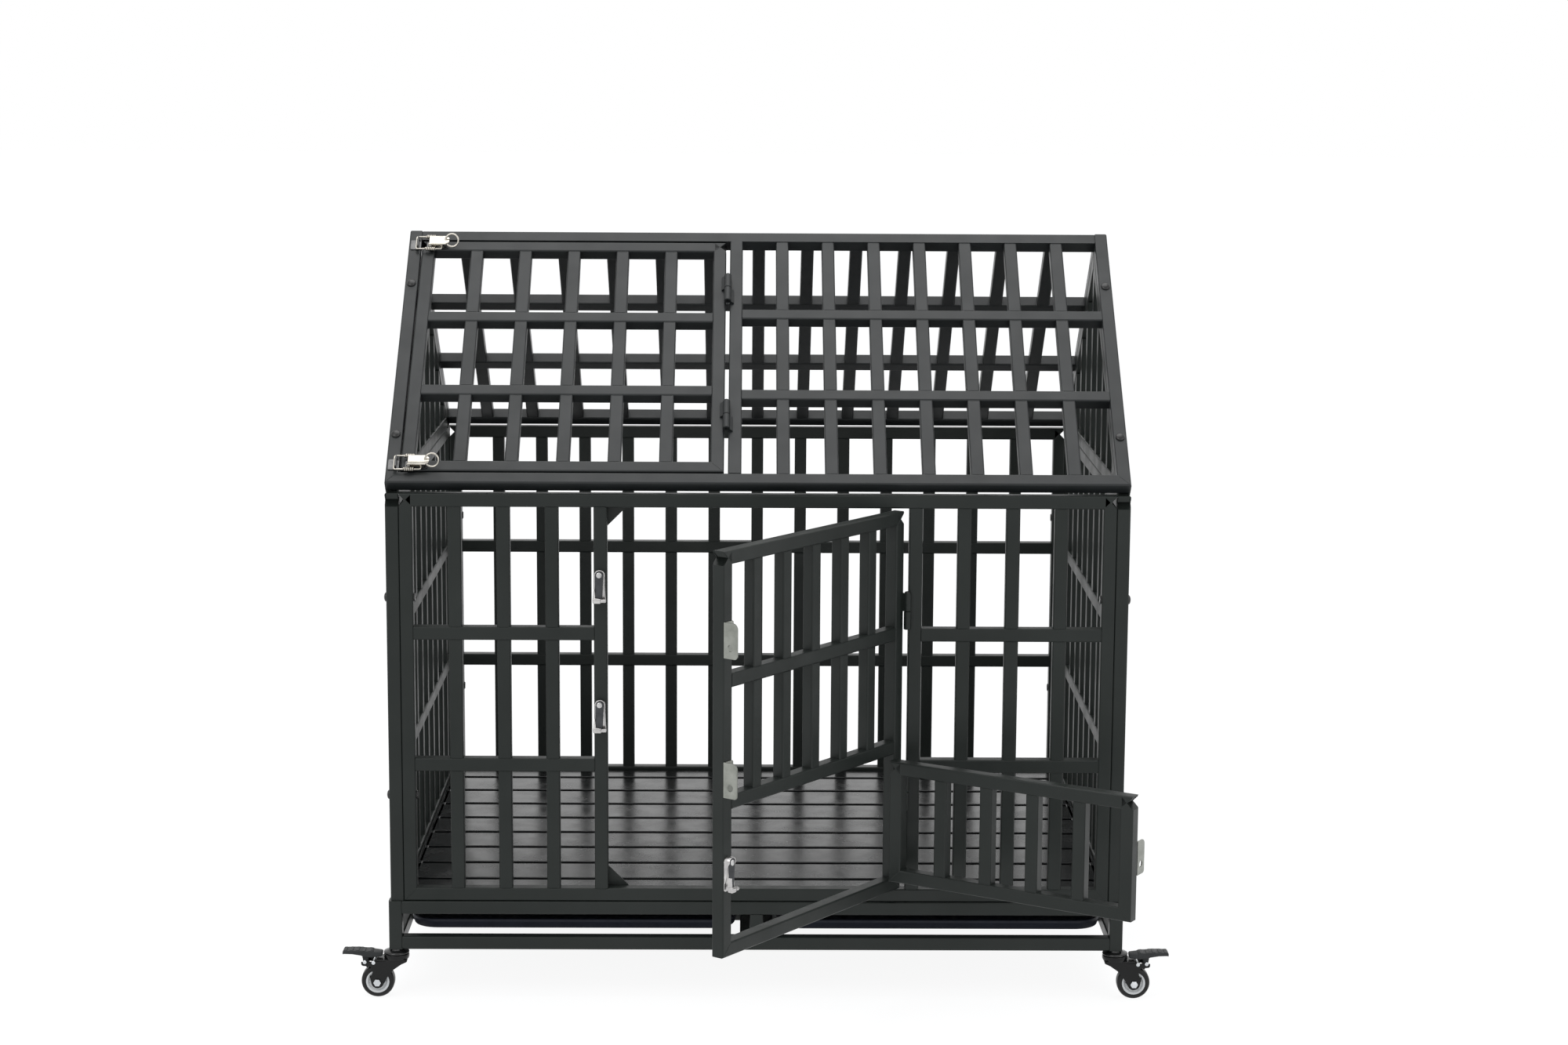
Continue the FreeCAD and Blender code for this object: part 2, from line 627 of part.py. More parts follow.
def knuckle_on_roof(body, name, x, y, low, high, side):
    """Weld one roof hinge knuckle to a stile, with a tab over the gap beside the door."""
    slab(body, name, "XY_Plane", [(x, y, "knuckle_radius")], low, high)
    edge = "(%s) + %d * (roof_door_gap / 2 + tube / 3)" % (x, side)
    inner = "(%s) + %d * (roof_door_gap / 2)" % (x, side)
    mid = "(%s) + %d * (knuckle_radius / 2)" % (x, side)
    slab(body, name + "_tab", "XY_Plane",
         [[(mid, "(%s) + knuckle_radius * 0.8" % y), (mid, "(%s) - 1" % y), (edge, "(%s) + hinge_proud - 2" % y),
           (edge, "(%s) + hinge_proud + 1" % y), (inner, "(%s) + hinge_proud + 1" % y),
           (inner, "(%s) + knuckle_radius * 0.8" % y)]],
         low, high)


# Back half of the roof.
def make_roof_back_panel():
    body = new_body("roof_back_panel", y="crate_centre + crate_depth / 2", z=PANEL_TOP + " + eave_lift",
                    axis=(1, 0, 0), angle=LEAN)
    half = "(crate_length / 2)"
    slab(body, "frame", "XZ_Plane", [box_loop("-" + half, "0", half, SLOPE)], "-tube", "0")
    windows(body, "window", "XZ_Plane", "-(%s - tube)" % half, half + " - tube", "roof_rows", ROOF_ROW,
            "-tube - 1", "1")
    bars(body, "bar", "XZ_Plane", "X_Axis", "-(%s - tube / 2)" % half, half + " - tube / 2", "roof_back_bars",
         "tube / 2", SLOPE + " - tube / 2", "-tube + " + BAR_INSET, "-" + BAR_INSET)
    mitre(body, "-" + half, half, "-")
    roof_bores(body, half, "-tube - 1", "1")
    return body


# Main door: two barred bays above, and below them the opening for the small door.
DOOR_LONG = "(door_opening - 2 * door_gap)"
DOOR_TALL = "(panel_height - 2 * tube - 2 * door_gap)"
DOOR_FACE = "(hinge_proud - door_proud)"
SMALL_PIN_X = "(-(door_gap / 2 + tube + door_gap / 2))"
SMALL_PIN_Y = "(-door_proud)"
SMALL_LONG = "(%s - 2 * tube - 2 * door_gap)" % DOOR_LONG
SMALL_OPENING = "(%s - 2 * tube - 2 * door_row)" % DOOR_TALL
SMALL_TALL = "(%s - 2 * door_gap)" % SMALL_OPENING
DOOR_FOOT = "(%s + tube + door_gap)" % BASE_TOP
SMALL_FOOT = "(%s + tube + door_gap)" % DOOR_FOOT


def door_point(along_door, out_of_door):
    """Place a point of the open main door, given from its hinge pin, in the crate's frame."""
    x = "(%s + (%s) * cos(main_door_angle) - (%s) * sin(main_door_angle))" % (PIN_X, along_door, out_of_door)
    y = "(%s + (%s) * sin(main_door_angle) + (%s) * cos(main_door_angle))" % (PIN_Y, along_door, out_of_door)
    return x, y


def small_hinge_bottoms():
    """Give each small hinge's name and its foot above the small door's foot."""
    length = "(2 * small_knuckle + knuckle_gap)"
    return [("lower_hinge", "small_hinge_drop"), ("upper_hinge", "(%s - small_hinge_drop - %s)" % (SMALL_TALL, length))]


def make_main_door():
    body = new_body("main_door", PIN_X, PIN_Y, DOOR_FOOT, axis=(0, 0, 1), angle="main_door_angle")
    far = "-(door_gap / 2 + %s)" % DOOR_LONG
    near = "-(door_gap / 2)"
    low, high = DOOR_FACE, DOOR_FACE + " + tube"
    slab(body, "frame", "XZ_Plane", [box_loop(far, "0", near, DOOR_TALL)], low, high)
    slab(body, "small_doorway", "XZ_Plane",
         [box_loop(far + " + tube", "tube", near + " - tube", "tube + " + SMALL_OPENING)],
         low + " - 1", high + " + 1", cut=True)
    base = "(2 * tube + %s)" % SMALL_OPENING
    upper = slab(body, "bay", "XZ_Plane",
                 [box_loop(far + " + tube", base, near + " - tube", base + " + door_row - tube")],
                 low + " - 1", high + " + 1", cut=True)
    pattern(body, "bays", [upper], "Z_Axis", "2", "door_row")
    bars(body, "bar", "XZ_Plane", "X_Axis", far + " + tube / 2", near + " - tube / 2", "door_bars",
         base + " - tube / 2", DOOR_TALL + " - tube / 2", low + " + " + BAR_INSET, high + " - " + BAR_INSET)
    for name, top in main_hinge_tops():
        top = "(%s - tube - door_gap)" % top
        foot = "(%s - knuckle_length)" % top
        front_knuckle(body, name + "_knuckle", "0", "0", foot, top, -1, DOOR_FACE + " + tube / 2")
        disc(body, name + "_bore", "XY_Plane", "0", "0", "hinge_pin_radius + pin_fit", foot, top, cut=True)
    for name, foot in small_hinge_bottoms():
        foot = "(%s + tube + door_gap)" % foot
        top = "(%s + small_knuckle)" % foot
        front_knuckle(body, "small_" + name, SMALL_PIN_X, SMALL_PIN_Y, foot, top, 1, DOOR_FACE + " + tube / 2")
        disc(body, "small_%s_bore" % name, "XY_Plane", SMALL_PIN_X, SMALL_PIN_Y, "hinge_pin_radius + pin_fit",
             foot, top, cut=True)
    return body


def make_small_door():
    x, y = door_point(SMALL_PIN_X, SMALL_PIN_Y)
    body = new_body("small_door", x, y, SMALL_FOOT, axis=(0, 0, 1), angle="main_door_angle + small_door_angle")
    far = "-(door_gap / 2 + %s)" % SMALL_LONG
    near = "-(door_gap / 2)"
    low, high = "hinge_proud", "hinge_proud + tube"
    slab(body, "frame", "XZ_Plane", [box_loop(far, "0", near, SMALL_TALL)], low, high)
    slab(body, "bay", "XZ_Plane", [box_loop(far + " + tube", "tube", near + " - tube", SMALL_TALL + " - tube")],
         low + " - 1", high + " + 1", cut=True)
    bars(body, "bar", "XZ_Plane", "X_Axis", far + " + tube / 2", near + " - tube / 2", "small_door_bars",
         "tube / 2", SMALL_TALL + " - tube / 2", low + " + " + BAR_INSET, high + " - " + BAR_INSET)
    for name, foot in small_hinge_bottoms():
        foot = "(%s + small_knuckle + knuckle_gap)" % foot
        top = "(%s + small_knuckle)" % foot
        front_knuckle(body, name + "_knuckle", "0", "0", foot, top, -1, "hinge_proud + tube / 2")
        disc(body, name + "_bore", "XY_Plane", "0", "0", "hinge_pin_radius + pin_fit", foot, top, cut=True)
    return body


# Hinge pins, each with a domed cap over the upper knuckle.
def make_pins(label, x, y, z, knuckle_size, spacing, axis=None, angle="0"):
    body = new_body(label, x, y, z, axis=axis, angle=angle)
    length = "(2 * %s + knuckle_gap)" % knuckle_size
    revolve(body, "pin", [[("0", "0"), ("hinge_pin_radius", "0"), ("hinge_pin_radius", length + " + 0.3"),
                           ("knuckle_radius - 1", length + " + 0.3"), ("knuckle_radius - 1", length + " + 1.3"),
                           ("hinge_pin_radius - 1", length + " + 2.8"), ("0", length + " + 2.8")]])
    repeat_whole(body, "pins", "Z_Axis", "2", spacing)
    return body


# Roof door.
def roof_point(x, inward, up_slope):
    """Place a point of the roof's front slope, measured from the eave edge, in the crate's frame."""
    y = "(%s + (%s) * roof_rise / %s + (%s) * %s / %s)" % (FRONT, inward, SLOPE, up_slope, HALF_DEPTH, SLOPE)
    z = "(%s + eave_lift - (%s) * %s / %s + (%s) * roof_rise / %s)" % (
        PANEL_TOP, inward, HALF_DEPTH, SLOPE, up_slope, SLOPE)
    return x, y, z


def make_roof_door():
    x, y, z = roof_point(ROOF_PIN_X, "-hinge_proud", "0")
    body = new_body("roof_door", x, y, z, axis=(-1, 0, 0), angle=LEAN)
    far = "(%s - %s)" % (DOOR_LEFT, ROOF_PIN_X)
    near = "-(roof_door_gap / 2)"
    low, high = "hinge_proud", "hinge_proud + tube"
    rows = "((%s - %s - tube) / roof_rows)" % (ROOF_DOOR_HIGH, ROOF_DOOR_LOW)
    slab(body, "frame", "XZ_Plane", [box_loop(far, ROOF_DOOR_LOW, near, ROOF_DOOR_HIGH)], low, high)
    opening = slab(body, "window", "XZ_Plane",
                   [box_loop(far + " + tube", ROOF_DOOR_LOW + " + tube", near + " - tube",
                             ROOF_DOOR_LOW + " + " + rows)], low + " - 1", high + " + 1", cut=True)
    pattern(body, "windows", [opening], "Z_Axis", "roof_rows", "%s * (roof_rows - 1)" % rows)
    bars(body, "bar", "XZ_Plane", "X_Axis", far + " + tube / 2", near + " - tube / 2", "roof_door_bars",
         ROOF_DOOR_LOW + " + tube / 2", ROOF_DOOR_HIGH + " - tube / 2",
         low + " + " + BAR_INSET, high + " - " + BAR_INSET)
    for name, foot in roof_hinge_places():
        foot = "(%s + knuckle_length + knuckle_gap)" % foot
        top = "(%s + knuckle_length)" % foot
        knuckle_on_roof(body, name, "0", "0", foot, top, -1)
        disc(body, name + "_bore", "XY_Plane", "0", "0", "hinge_pin_radius + pin_fit", foot, top, cut=True)
    return body


# Turning latches of the front doors. Each housing's own origin is its rivet, on the stile's face.
def make_housing(label, x, y, z, spacing=None, axis=None, angle="0"):
    body = new_body(label, x, y, z, axis=axis, angle=angle)
    wall = "(lever_radius + 0.9)"
    slab(body, "plate", "XZ_Plane",
         [box_loop("-" + wall, "-(latch_reach + 4)", wall + " + latch_sheet", "0")], "-latch_sheet", "0")
    disc(body, "crown", "XZ_Plane", "latch_sheet / 2", "0", wall + " + latch_sheet / 2", "-latch_sheet", "0")
    slab(body, "rim", "XZ_Plane",
         [("latch_sheet / 2", "0", wall + " + latch_sheet / 2"), ("latch_sheet / 2", "0", wall + " - latch_sheet / 2")],
         "-(latch_stand - 0.3)", "-latch_sheet / 2")
    slab(body, "rim_trim", "XZ_Plane",
         [box_loop("-(lever_radius + 9)", "-(lever_radius + 9)", "lever_radius + 9", "0")],
         "-(latch_stand + 1)", "-latch_sheet", cut=True)
    slab(body, "wall", "XZ_Plane",
         [box_loop(wall, "-(latch_reach / 2)", wall + " + latch_sheet", "0.2")],
         "-(latch_stand - 0.3)", "-latch_sheet / 2")
    disc(body, "boss", "XZ_Plane", "0", "0", "rivet_radius + 2", "-latch_stand", "-latch_sheet / 2")
    disc(body, "rivet_hole", "XZ_Plane", "0", "0", "rivet_radius + pin_fit", "-(latch_stand + 1)", "1", cut=True)
    if spacing is not None:
        repeat_whole(body, "pair", "Z_Axis", "2", spacing)
    return body


def make_rivets(label, x, y, z, spacing=None, axis=None, angle="0"):
    body = new_body(label, x, y, z, axis=axis, angle=angle)
    face = "(latch_stand + 0.3 + lever_sheet + 0.3)"
    disc(body, "shank", "XZ_Plane", "0", "0", "rivet_radius", "-%s - 0.5" % face, "-0.05")
    disc(body, "head", "XZ_Plane", "0", "0", "rivet_radius + 2.4", "-%s - 2" % face, "-" + face)
    round_edges(body, "dome", "1.4", lambda edge: edge.BoundBox.YMax < value_of("-%s - 1.9" % face))
    if spacing is not None:
        repeat_whole(body, "pair", "Z_Axis", "2", spacing)
    return body


def make_lever(label, x, y, z, axis=None, angle="0"):
    body = new_body(label, x, y, z, axis=axis, angle=angle)
    near = "-(latch_stand + 0.3)"
    far = "-(latch_stand + 0.3 + lever_sheet)"
    foot = "-(latch_reach + latch_pin_radius + 1)"
    slab(body, "blade", "XZ_Plane",
         [[("-lever_radius", "0"), ("-(lever_radius - 1.3)", foot), ("lever_radius - 2.3", foot),
           ("lever_radius", "0")]], far, near)
    disc(body, "eye", "XZ_Plane", "0", "0", "lever_radius", far, near)
    disc(body, "eye_hole", "XZ_Plane", "0", "0", "rivet_radius + pin_fit", far + " - 1", near + " + 1", cut=True)
    slab(body, "thumb_tab", "XZ_Plane",
         [[("-(lever_radius + 3.5)", foot), ("-(lever_radius - 1.3)", foot), ("-(lever_radius - 1.8)", "-(latch_reach / 2)"),
           ("-(lever_radius + 1)", "-(latch_reach * 0.62)")]], far + " - 6", near)
    slab(body, "thumb_hollow", "XZ_Plane",
         [box_loop("-(lever_radius + 6)", foot + " - 1", "-(lever_radius - 0.2)", "-(latch_reach / 2 - 2)")],
         far + " - 4", near + " + 1", cut=True)
    slab(body, "block", "XZ_Plane",
         [box_loop("-(lever_radius - 1.3)", foot, "lever_radius - 3", "-(latch_reach - latch_pin_radius - 1)")],
         "-(strike_hole_out + latch_pin_radius)", near)
    disc(body, "bolt_pin", "YZ_Plane", "-strike_hole_out", "-latch_reach", "latch_pin_radius", "0", "latch_pin_length")
    round_edges(body, "pin_tip", "1.2", lambda edge: edge.BoundBox.XMin > value_of("latch_pin_length") - 0.01)
    return body


def make_strike(body, far, face, hole_z):
    """Bend one strike: a flange on the stile's face and a lug standing out with the bolt's hole."""
    low = "(%s) - strike_below_hole" % hole_z
    high = "(%s) + strike_above_hole" % hole_z
    slab(body, "flange", "XY_Plane",
         [box_loop(far, face + " - strike_sheet", far + " + tube", face)], low, high)
    lug = slab(body, "lug", "XY_Plane",
               [box_loop(far, face + " - strike_stand", far + " + strike_sheet", face)], low, high)
    round_edges(body, "lug_corners", "6",
                lambda edge: along(edge, (1, 0, 0)) and edge.BoundBox.YMax < value_of(face + " - strike_stand") + 0.01)
    disc(body, "bolt_hole", "YZ_Plane", face + " - strike_hole_out + door_proud", hole_z, "strike_hole_radius",
         far + " - 1", far + " + strike_sheet + 1", cut=True)
    return lug


def make_main_strikes():
    low_hole = "(panel_height - tube - door_gap - latch_lower_drop - latch_reach + strike_rise)"
    body = new_body("main_door_strikes", PIN_X, PIN_Y, DOOR_FOOT, axis=(0, 0, 1), angle="main_door_angle")
    make_strike(body, "-(door_gap / 2 + %s)" % DOOR_LONG, DOOR_FACE, low_hole)
    repeat_whole(body, "pair", "Z_Axis", "2", "latch_lower_drop - latch_upper_drop")
    return body


def make_small_strike():
    x, y = door_point(SMALL_PIN_X, SMALL_PIN_Y)
    body = new_body("small_door_strike", x, y, SMALL_FOOT, axis=(0, 0, 1), angle="main_door_angle + small_door_angle")
    hole = "(%s + door_gap - small_latch_drop - latch_reach + strike_rise - door_gap)" % SMALL_TALL
    make_strike(body, "-(door_gap / 2 + %s)" % SMALL_LONG, "hinge_proud", hole)
    return body


# Toggle latches of the roof door. Each latch's own origin is the pivot rod of its lever.
TOGGLE_X = "(%s + toggle_pivot_inset)" % DOOR_LEFT
TOGGLES = {
    "lower": "(%s + tube / 2)" % ROOF_DOOR_LOW,
    "upper": "(%s - tube / 2)" % ROOF_DOOR_HIGH,
}
TOGGLE_SPACING = "(%s - %s - tube)" % (ROOF_DOOR_HIGH, ROOF_DOOR_LOW)


def toggle_body(label, place, shift="0"):
    x, y, z = roof_point("(%s + %s)" % (TOGGLE_X, shift), "-toggle_height", TOGGLES[place])
    return new_body(label, x, y, z, axis=(-1, 0, 0), angle=LEAN)


def make_toggle_bases():
    body = toggle_body("toggle_bases", "lower")
    ear_in = "(toggle_half_width - 2 * toggle_sheet - 0.6)"
    ear_out = "(toggle_half_width - toggle_sheet - 0.4)"
    floor = "toggle_height"
    slab(body, "plate", "XZ_Plane", [box_loop("-6", "-" + ear_out, "lever_length - 3", ear_out)],
         floor + " - toggle_sheet", floor)
    ear = [("-toggle_ear", floor), ("-toggle_ear", "0"), ("toggle_ear", "0"), ("6", floor)]
    slab(body, "ear", "XY_Plane", [ear], ear_in, ear_out)
    disc(body, "ear_top", "XY_Plane", "0", "0", "toggle_ear", ear_in, ear_out)
    slab(body, "far_ear", "XY_Plane", [ear], "-" + ear_out, "-" + ear_in)
    disc(body, "far_ear_top", "XY_Plane", "0", "0", "toggle_ear", "-" + ear_out, "-" + ear_in)
    disc(body, "rod_hole", "XY_Plane", "0", "0", "toggle_rod_radius + pin_fit", "-toggle_half_width", "toggle_half_width",
         cut=True)
    rivet = disc(body, "rivet_head", "XZ_Plane", "11", "0", "3", floor + " - toggle_sheet - 1.2",
                 floor + " - toggle_sheet / 2")
    pattern(body, "rivet_heads", [rivet], "X_Axis", "2", "10")
    repeat_whole(body, "pair", "Z_Axis", "2", TOGGLE_SPACING)
    return body


def make_toggle_rods():
    body = toggle_body("toggle_rods", "lower")
    end = "(toggle_half_width + 0.3)"
    disc(body, "rod", "XY_Plane", "0", "0", "toggle_rod_radius", "-%s - 0.5" % end, end + " + 0.5")
    disc(body, "head", "XY_Plane", "0", "0", "toggle_rod_radius + 1", end, end + " + 1")
    disc(body, "far_head", "XY_Plane", "0", "0", "toggle_rod_radius + 1", "-%s - 1" % end, "-" + end)
    repeat_whole(body, "pair", "Z_Axis", "2", TOGGLE_SPACING)
    return body


def make_toggle_lever(place):
    body = toggle_body(place + "_toggle_lever", place)
    wide = "toggle_half_width"
    side = [[("-3", "-(lever_roof + toggle_sheet)"), ("-3", "1.5"), ("-1", "3.2"), ("bail_arm + 2", "bail_drop + 3"),
             ("bail_arm + 4", "bail_drop + 1"), ("lever_length - 5", "-lever_roof"),
             ("lever_length - 5", "-(lever_roof + toggle_sheet)")]]
    slab(body, "channel", "XY_Plane", side, "-" + wide, wide)
    slab(body, "channel_hollow", "XY_Plane",
         [box_loop("-5", "-lever_roof", "lever_length + 5", "bail_drop + 9")],
         "-(%s - toggle_sheet)" % wide, wide + " - toggle_sheet", cut=True)
    slab(body, "handle", "XZ_Plane",
         [[("lever_length - 6", "-" + wide), ("lever_length", "-(%s - 3.5)" % wide), ("lever_length", wide + " - 3.5"),
           ("lever_length - 6", wide)]], "-(lever_roof + toggle_sheet)", "-lever_roof")
    disc(body, "ring_slot", "XZ_Plane", "ring_hole", "0", "ring_hole_radius",
         "-(lever_roof + toggle_sheet + 1)", "-lever_roof + 1", cut=True)
    inside = "(%s - toggle_sheet)" % wide
    slab(body, "tail_notch", "XY_Plane",
         [box_loop("-5", "-(lever_roof + toggle_sheet + 1)", "lever_tail", "-lever_roof + 0.5")],
         "-" + inside, inside, cut=True)
    disc(body, "rod_hole", "XY_Plane", "0", "0", "toggle_rod_radius + pin_fit",
         "-%s - 1" % wide, wide + " + 1", cut=True)
    disc(body, "bail_hole", "XY_Plane", "bail_arm", "bail_drop", "wire_radius + pin_fit", "-%s - 1" % wide,
         wide + " + 1", cut=True)
    return body


def make_keepers():
    x, y, z = roof_point(TOGGLE_X, "0", TOGGLES["lower"])
    body = new_body("toggle_keepers", x, y, z, axis=(-1, 0, 0), angle=LEAN)
    lip = "(bail_arm - bail_reach + wire_radius + keeper_gap)"
    edge = "(-(tube + roof_latch_gap) - toggle_pivot_inset)"
    slab(body, "plate", "XZ_Plane",
         [box_loop(edge + " + 3", "-(hook_spread - 3)", edge + " + tube - 0.5", "hook_spread - 3")],
         "-toggle_sheet", "0")
    slab(body, "lip", "XY_Plane",
         [[(lip, "0"), (lip, "-(toggle_height + 2.5)"), (lip + " + 1", "-(toggle_height + 3.5)"),
           (lip + " + toggle_sheet", "-(toggle_height + 3)"), (lip + " + toggle_sheet + 0.6", "-toggle_sheet"),
           (lip + " + toggle_sheet + 0.6", "0")]],
         "-(hook_spread - 3)", "hook_spread - 3")
    repeat_whole(body, "pair", "Z_Axis", "2", TOGGLE_SPACING)
    return body


def bend_wire(corners, radius):
    """Join straight lines through the corners, each corner between the ends rounded to the radius."""
    edges = []
    start = corners[0]
    for before, corner, after in zip(corners, corners[1:], corners[2:]):
        back = (before - corner).normalize()
        onward = (after - corner).normalize()
        first, last = corner + back * radius, corner + onward * radius
        middle = corner + (back + onward) * (radius * (1 - math.sqrt(0.5)))
        edges.append(Part.LineSegment(start, first).toShape())
        edges.append(Part.Arc(first, middle, last).toShape())
        start = last
    edges.append(Part.LineSegment(start, corners[-1]).toShape())
    return Part.Wire(edges)


def make_bail(place):
    """Bend one bail out of a single wire: both ends in the lever, its crossbar behind the keeper."""
    label = place + "_toggle_bail"
    wire = value_of("wire_radius")
    reach = value_of("bail_reach")
    hook = value_of("hook_spread")
    pin_end = value_of("toggle_half_width - toggle_sheet - 0.9")
    half = [V(0, 0, pin_end), V(0, 0, hook), V(-reach, 0, hook)]
    spine = bend_wire(half + [V(point.x, 0, -point.z) for point in reversed(half)], 2.5 * wire)
    profile = Part.Wire([Part.makeCircle(wire, half[0], V(0, 0, 1))])
    shell = Part.BRepOffsetAPI.MakePipeShell(spine)
    shell.add(profile)
    shell.build()
    shell.makeSolid()
    solid = doc.addObject("Part::Feature", label)
    solid.Label = label
    solid.Shape = shell.shape()
    solid.Placement = FreeCAD.Placement(V(0, 0, 0), FreeCAD.Rotation(V(-1, 0, 0), 10))
    solid.setExpression("Placement.Rotation.Angle", expr(LEAN))
    x, y, z = roof_point("(%s + bail_arm)" % TOGGLE_X, "(bail_drop - toggle_height)", TOGGLES[place])
    for letter, position in zip("xyz", (x, y, z)):
        solid.setExpression("Placement.Base." + letter, expr(position))
    PARTS.append(solid)
    return solid


def make_pull_ring(place):
    x, y, z = roof_point("(%s + ring_hole)" % TOGGLE_X, "-(toggle_height + lever_roof + toggle_sheet / 2)", TOGGLES[place])
    body = new_body(place + "_pull_ring", "%s + ring_radius" % x, y, z, axis=(1, 0, 0), angle="90")
    ring = body.newObject("PartDesign::AdditiveTorus", "ring")
    ring.setExpression("Radius1", expr("ring_radius"))
    ring.setExpression("Radius2", expr("ring_wire"))
    return body


# Trays: a shallow pan on each side of the runner, drawn out at the front.
def make_tray(label, side):
    x = "%d * (tray_inner + tray_length / 2)" % side
    body = new_body(label, x, "%s + tray_inset + tray_depth / 2" % FRONT, "caster_height + tube + tray_clearance")
    step = "(tray_height * 0.35)"
    levels = [("0", "tray_floor_inset"), (step, "4"), ("tray_height", "0")]
    for name, wall, cut in (("shell", "0", False), ("hollow", "tray_wall", True)):
        sketches = []
        for height, inset in levels:
            inset = "(%s + %s)" % (inset, wall)
            height = "(%s + %s)" % (height, wall) if height != "tray_height" else "(tray_height + 2 * %s)" % wall
            sketch = new_sketch(body, "%s_level_%d" % (name, len(sketches)), "XY_Plane", height)
            add_round_box(sketch, "(tray_length / 2 - %s)" % inset, "(tray_depth / 2 - %s)" % inset,
                          "(tray_corner - %s)" % inset)
            sketches.append(sketch)
        loft = body.newObject("PartDesign::SubtractiveLoft" if cut else "PartDesign::AdditiveLoft", name)
        loft.Profile = sketches[0]
        loft.Sections = sketches[1:]
        loft.Ruled = True
    return body


# Fasteners of the cabin.
def make_panel_bolts():
    x = "-(crate_length / 2)"
    body = new_body("panel_bolts", y="crate_centre", z=BASE_TOP)
    y = "(crate_depth / 2 - tube / 2)"
    for name, turn in (("front", "-"), ("back", "")):
        place = turn + y
        disc(body, name + "_shank", "YZ_Plane", place, "bolt_lower", "bolt_radius", x + " - 0.5", x + " + 2 * tube + 0.5")
        disc(body, name + "_head", "YZ_Plane", place, "bolt_lower", "bolt_head_radius", x + " - bolt_head_height", x)
        round_edges(body, name + "_dome", "bolt_head_height * 0.7",
                    lambda edge: edge.BoundBox.XMax < value_of(x + " - bolt_head_height") + 0.01
                    and (edge.BoundBox.YMax < 0) == (turn == "-"))
        disc(body, name + "_nut", "YZ_Plane", place, "bolt_lower", "bolt_radius + 2.4", x + " + 2 * tube",
             x + " + 2 * tube + bolt_head_height / 2")
    repeat_whole(body, "heights", "Z_Axis", "2", "bolt_upper - bolt_lower")
    doc.recompute()
    both = body.newObject("PartDesign::Mirrored", "both_sides")
    both.TransformMode = "Whole shape"
    both.MirrorPlane = (origin_feature(body, "YZ_Plane"), [""])
    body.Tip = both
    return body


def make_roof_bolts(label, half):
    """Screw the ends of one half of the roof down to the gables' sloping rails."""
    x = "-(crate_length / 2 - tube / 2)"
    y = "crate_centre + %d * %s" % (half, HALF_DEPTH)
    body = new_body(label, x, y, PANEL_TOP + " + eave_lift", axis=(half, 0, 0), angle=LEAN)
    edges = {-1: ("-0.5", "1.8 * tube", "-bolt_head_height", "0"), 1: ("-1.8 * tube", "0.5", "0", "bolt_head_height")}
    shank_low, shank_high, head_low, head_high = edges[half]
    disc(body, "shank", "XZ_Plane", "0", "roof_bolt_low", "bolt_radius", shank_low, shank_high)
    disc(body, "head", "XZ_Plane", "0", "roof_bolt_low", "bolt_head_radius", head_low, head_high)
    round_edges(body, "dome", "bolt_head_height * 0.7",
                lambda edge: edge.BoundBox.YMin * half > value_of("bolt_head_height") - 0.01
                or edge.BoundBox.YMax * half > value_of("bolt_head_height") - 0.01 and edge.BoundBox.YLength < 0.01)
    repeat_whole(body, "two_ends", "X_Axis", "2", "crate_length - tube")
    repeat_whole(body, "two_heights", "Z_Axis", "2", "roof_bolt_high - roof_bolt_low")
    return body


# Casters.
CORNERS = {
    "front_left": (-1, -1),
    "front_right": (1, -1),
    "back_left": (-1, 1),
    "back_right": (1, 1),
}
STEM_X = "(crate_length / 2 + base_overhang - tube / 2)"
STEM_Y = "(crate_depth / 2 + base_overhang - tube / 2)"


def stem_place(corner):
    side, end = CORNERS[corner]
    return "%d * %s" % (side, STEM_X), "crate_centre + %d * %s" % (end, STEM_Y)


def corner_body(label, corner, z="0"):
    """Start a caster piece at its swivel axis, with the wheel trailing towards the crate's near side."""
    x, y = stem_place(corner)
    body = new_body(label, x, y, z)
    if CORNERS[corner][0] > 0:
        body.Placement = FreeCAD.Placement(body.Placement.Base, FreeCAD.Rotation(V(0, 0, 1), 180))
    return body


FORK_TOP = "(caster_height - 15)"


def make_caster_races():
    body = new_body("caster_races", "-" + STEM_X, "crate_centre - " + STEM_Y)
    top = "caster_height"
    cup = "(caster_height - 7)"
    revolve(body, "race", [[
        ("0", FORK_TOP + " - 8"), ("7", FORK_TOP + " - 8"), ("7", FORK_TOP + " - 5.5"), ("4", FORK_TOP + " - 5"),
        ("4", cup), ("race_radius", cup), ("race_radius", cup + " + 3"), ("race_radius - 3", top),
        ("stem_radius", top), ("stem_radius", top + " + stem_length - 1"),
        ("stem_radius - 1", top + " + stem_length"), ("0", top + " + stem_length")]])
    repeat_whole(body, "two_ends", "X_Axis", "2", "2 * " + STEM_X)
    repeat_whole(body, "all_corners", "Y_Axis", "2", "2 * " + STEM_Y)
    return body


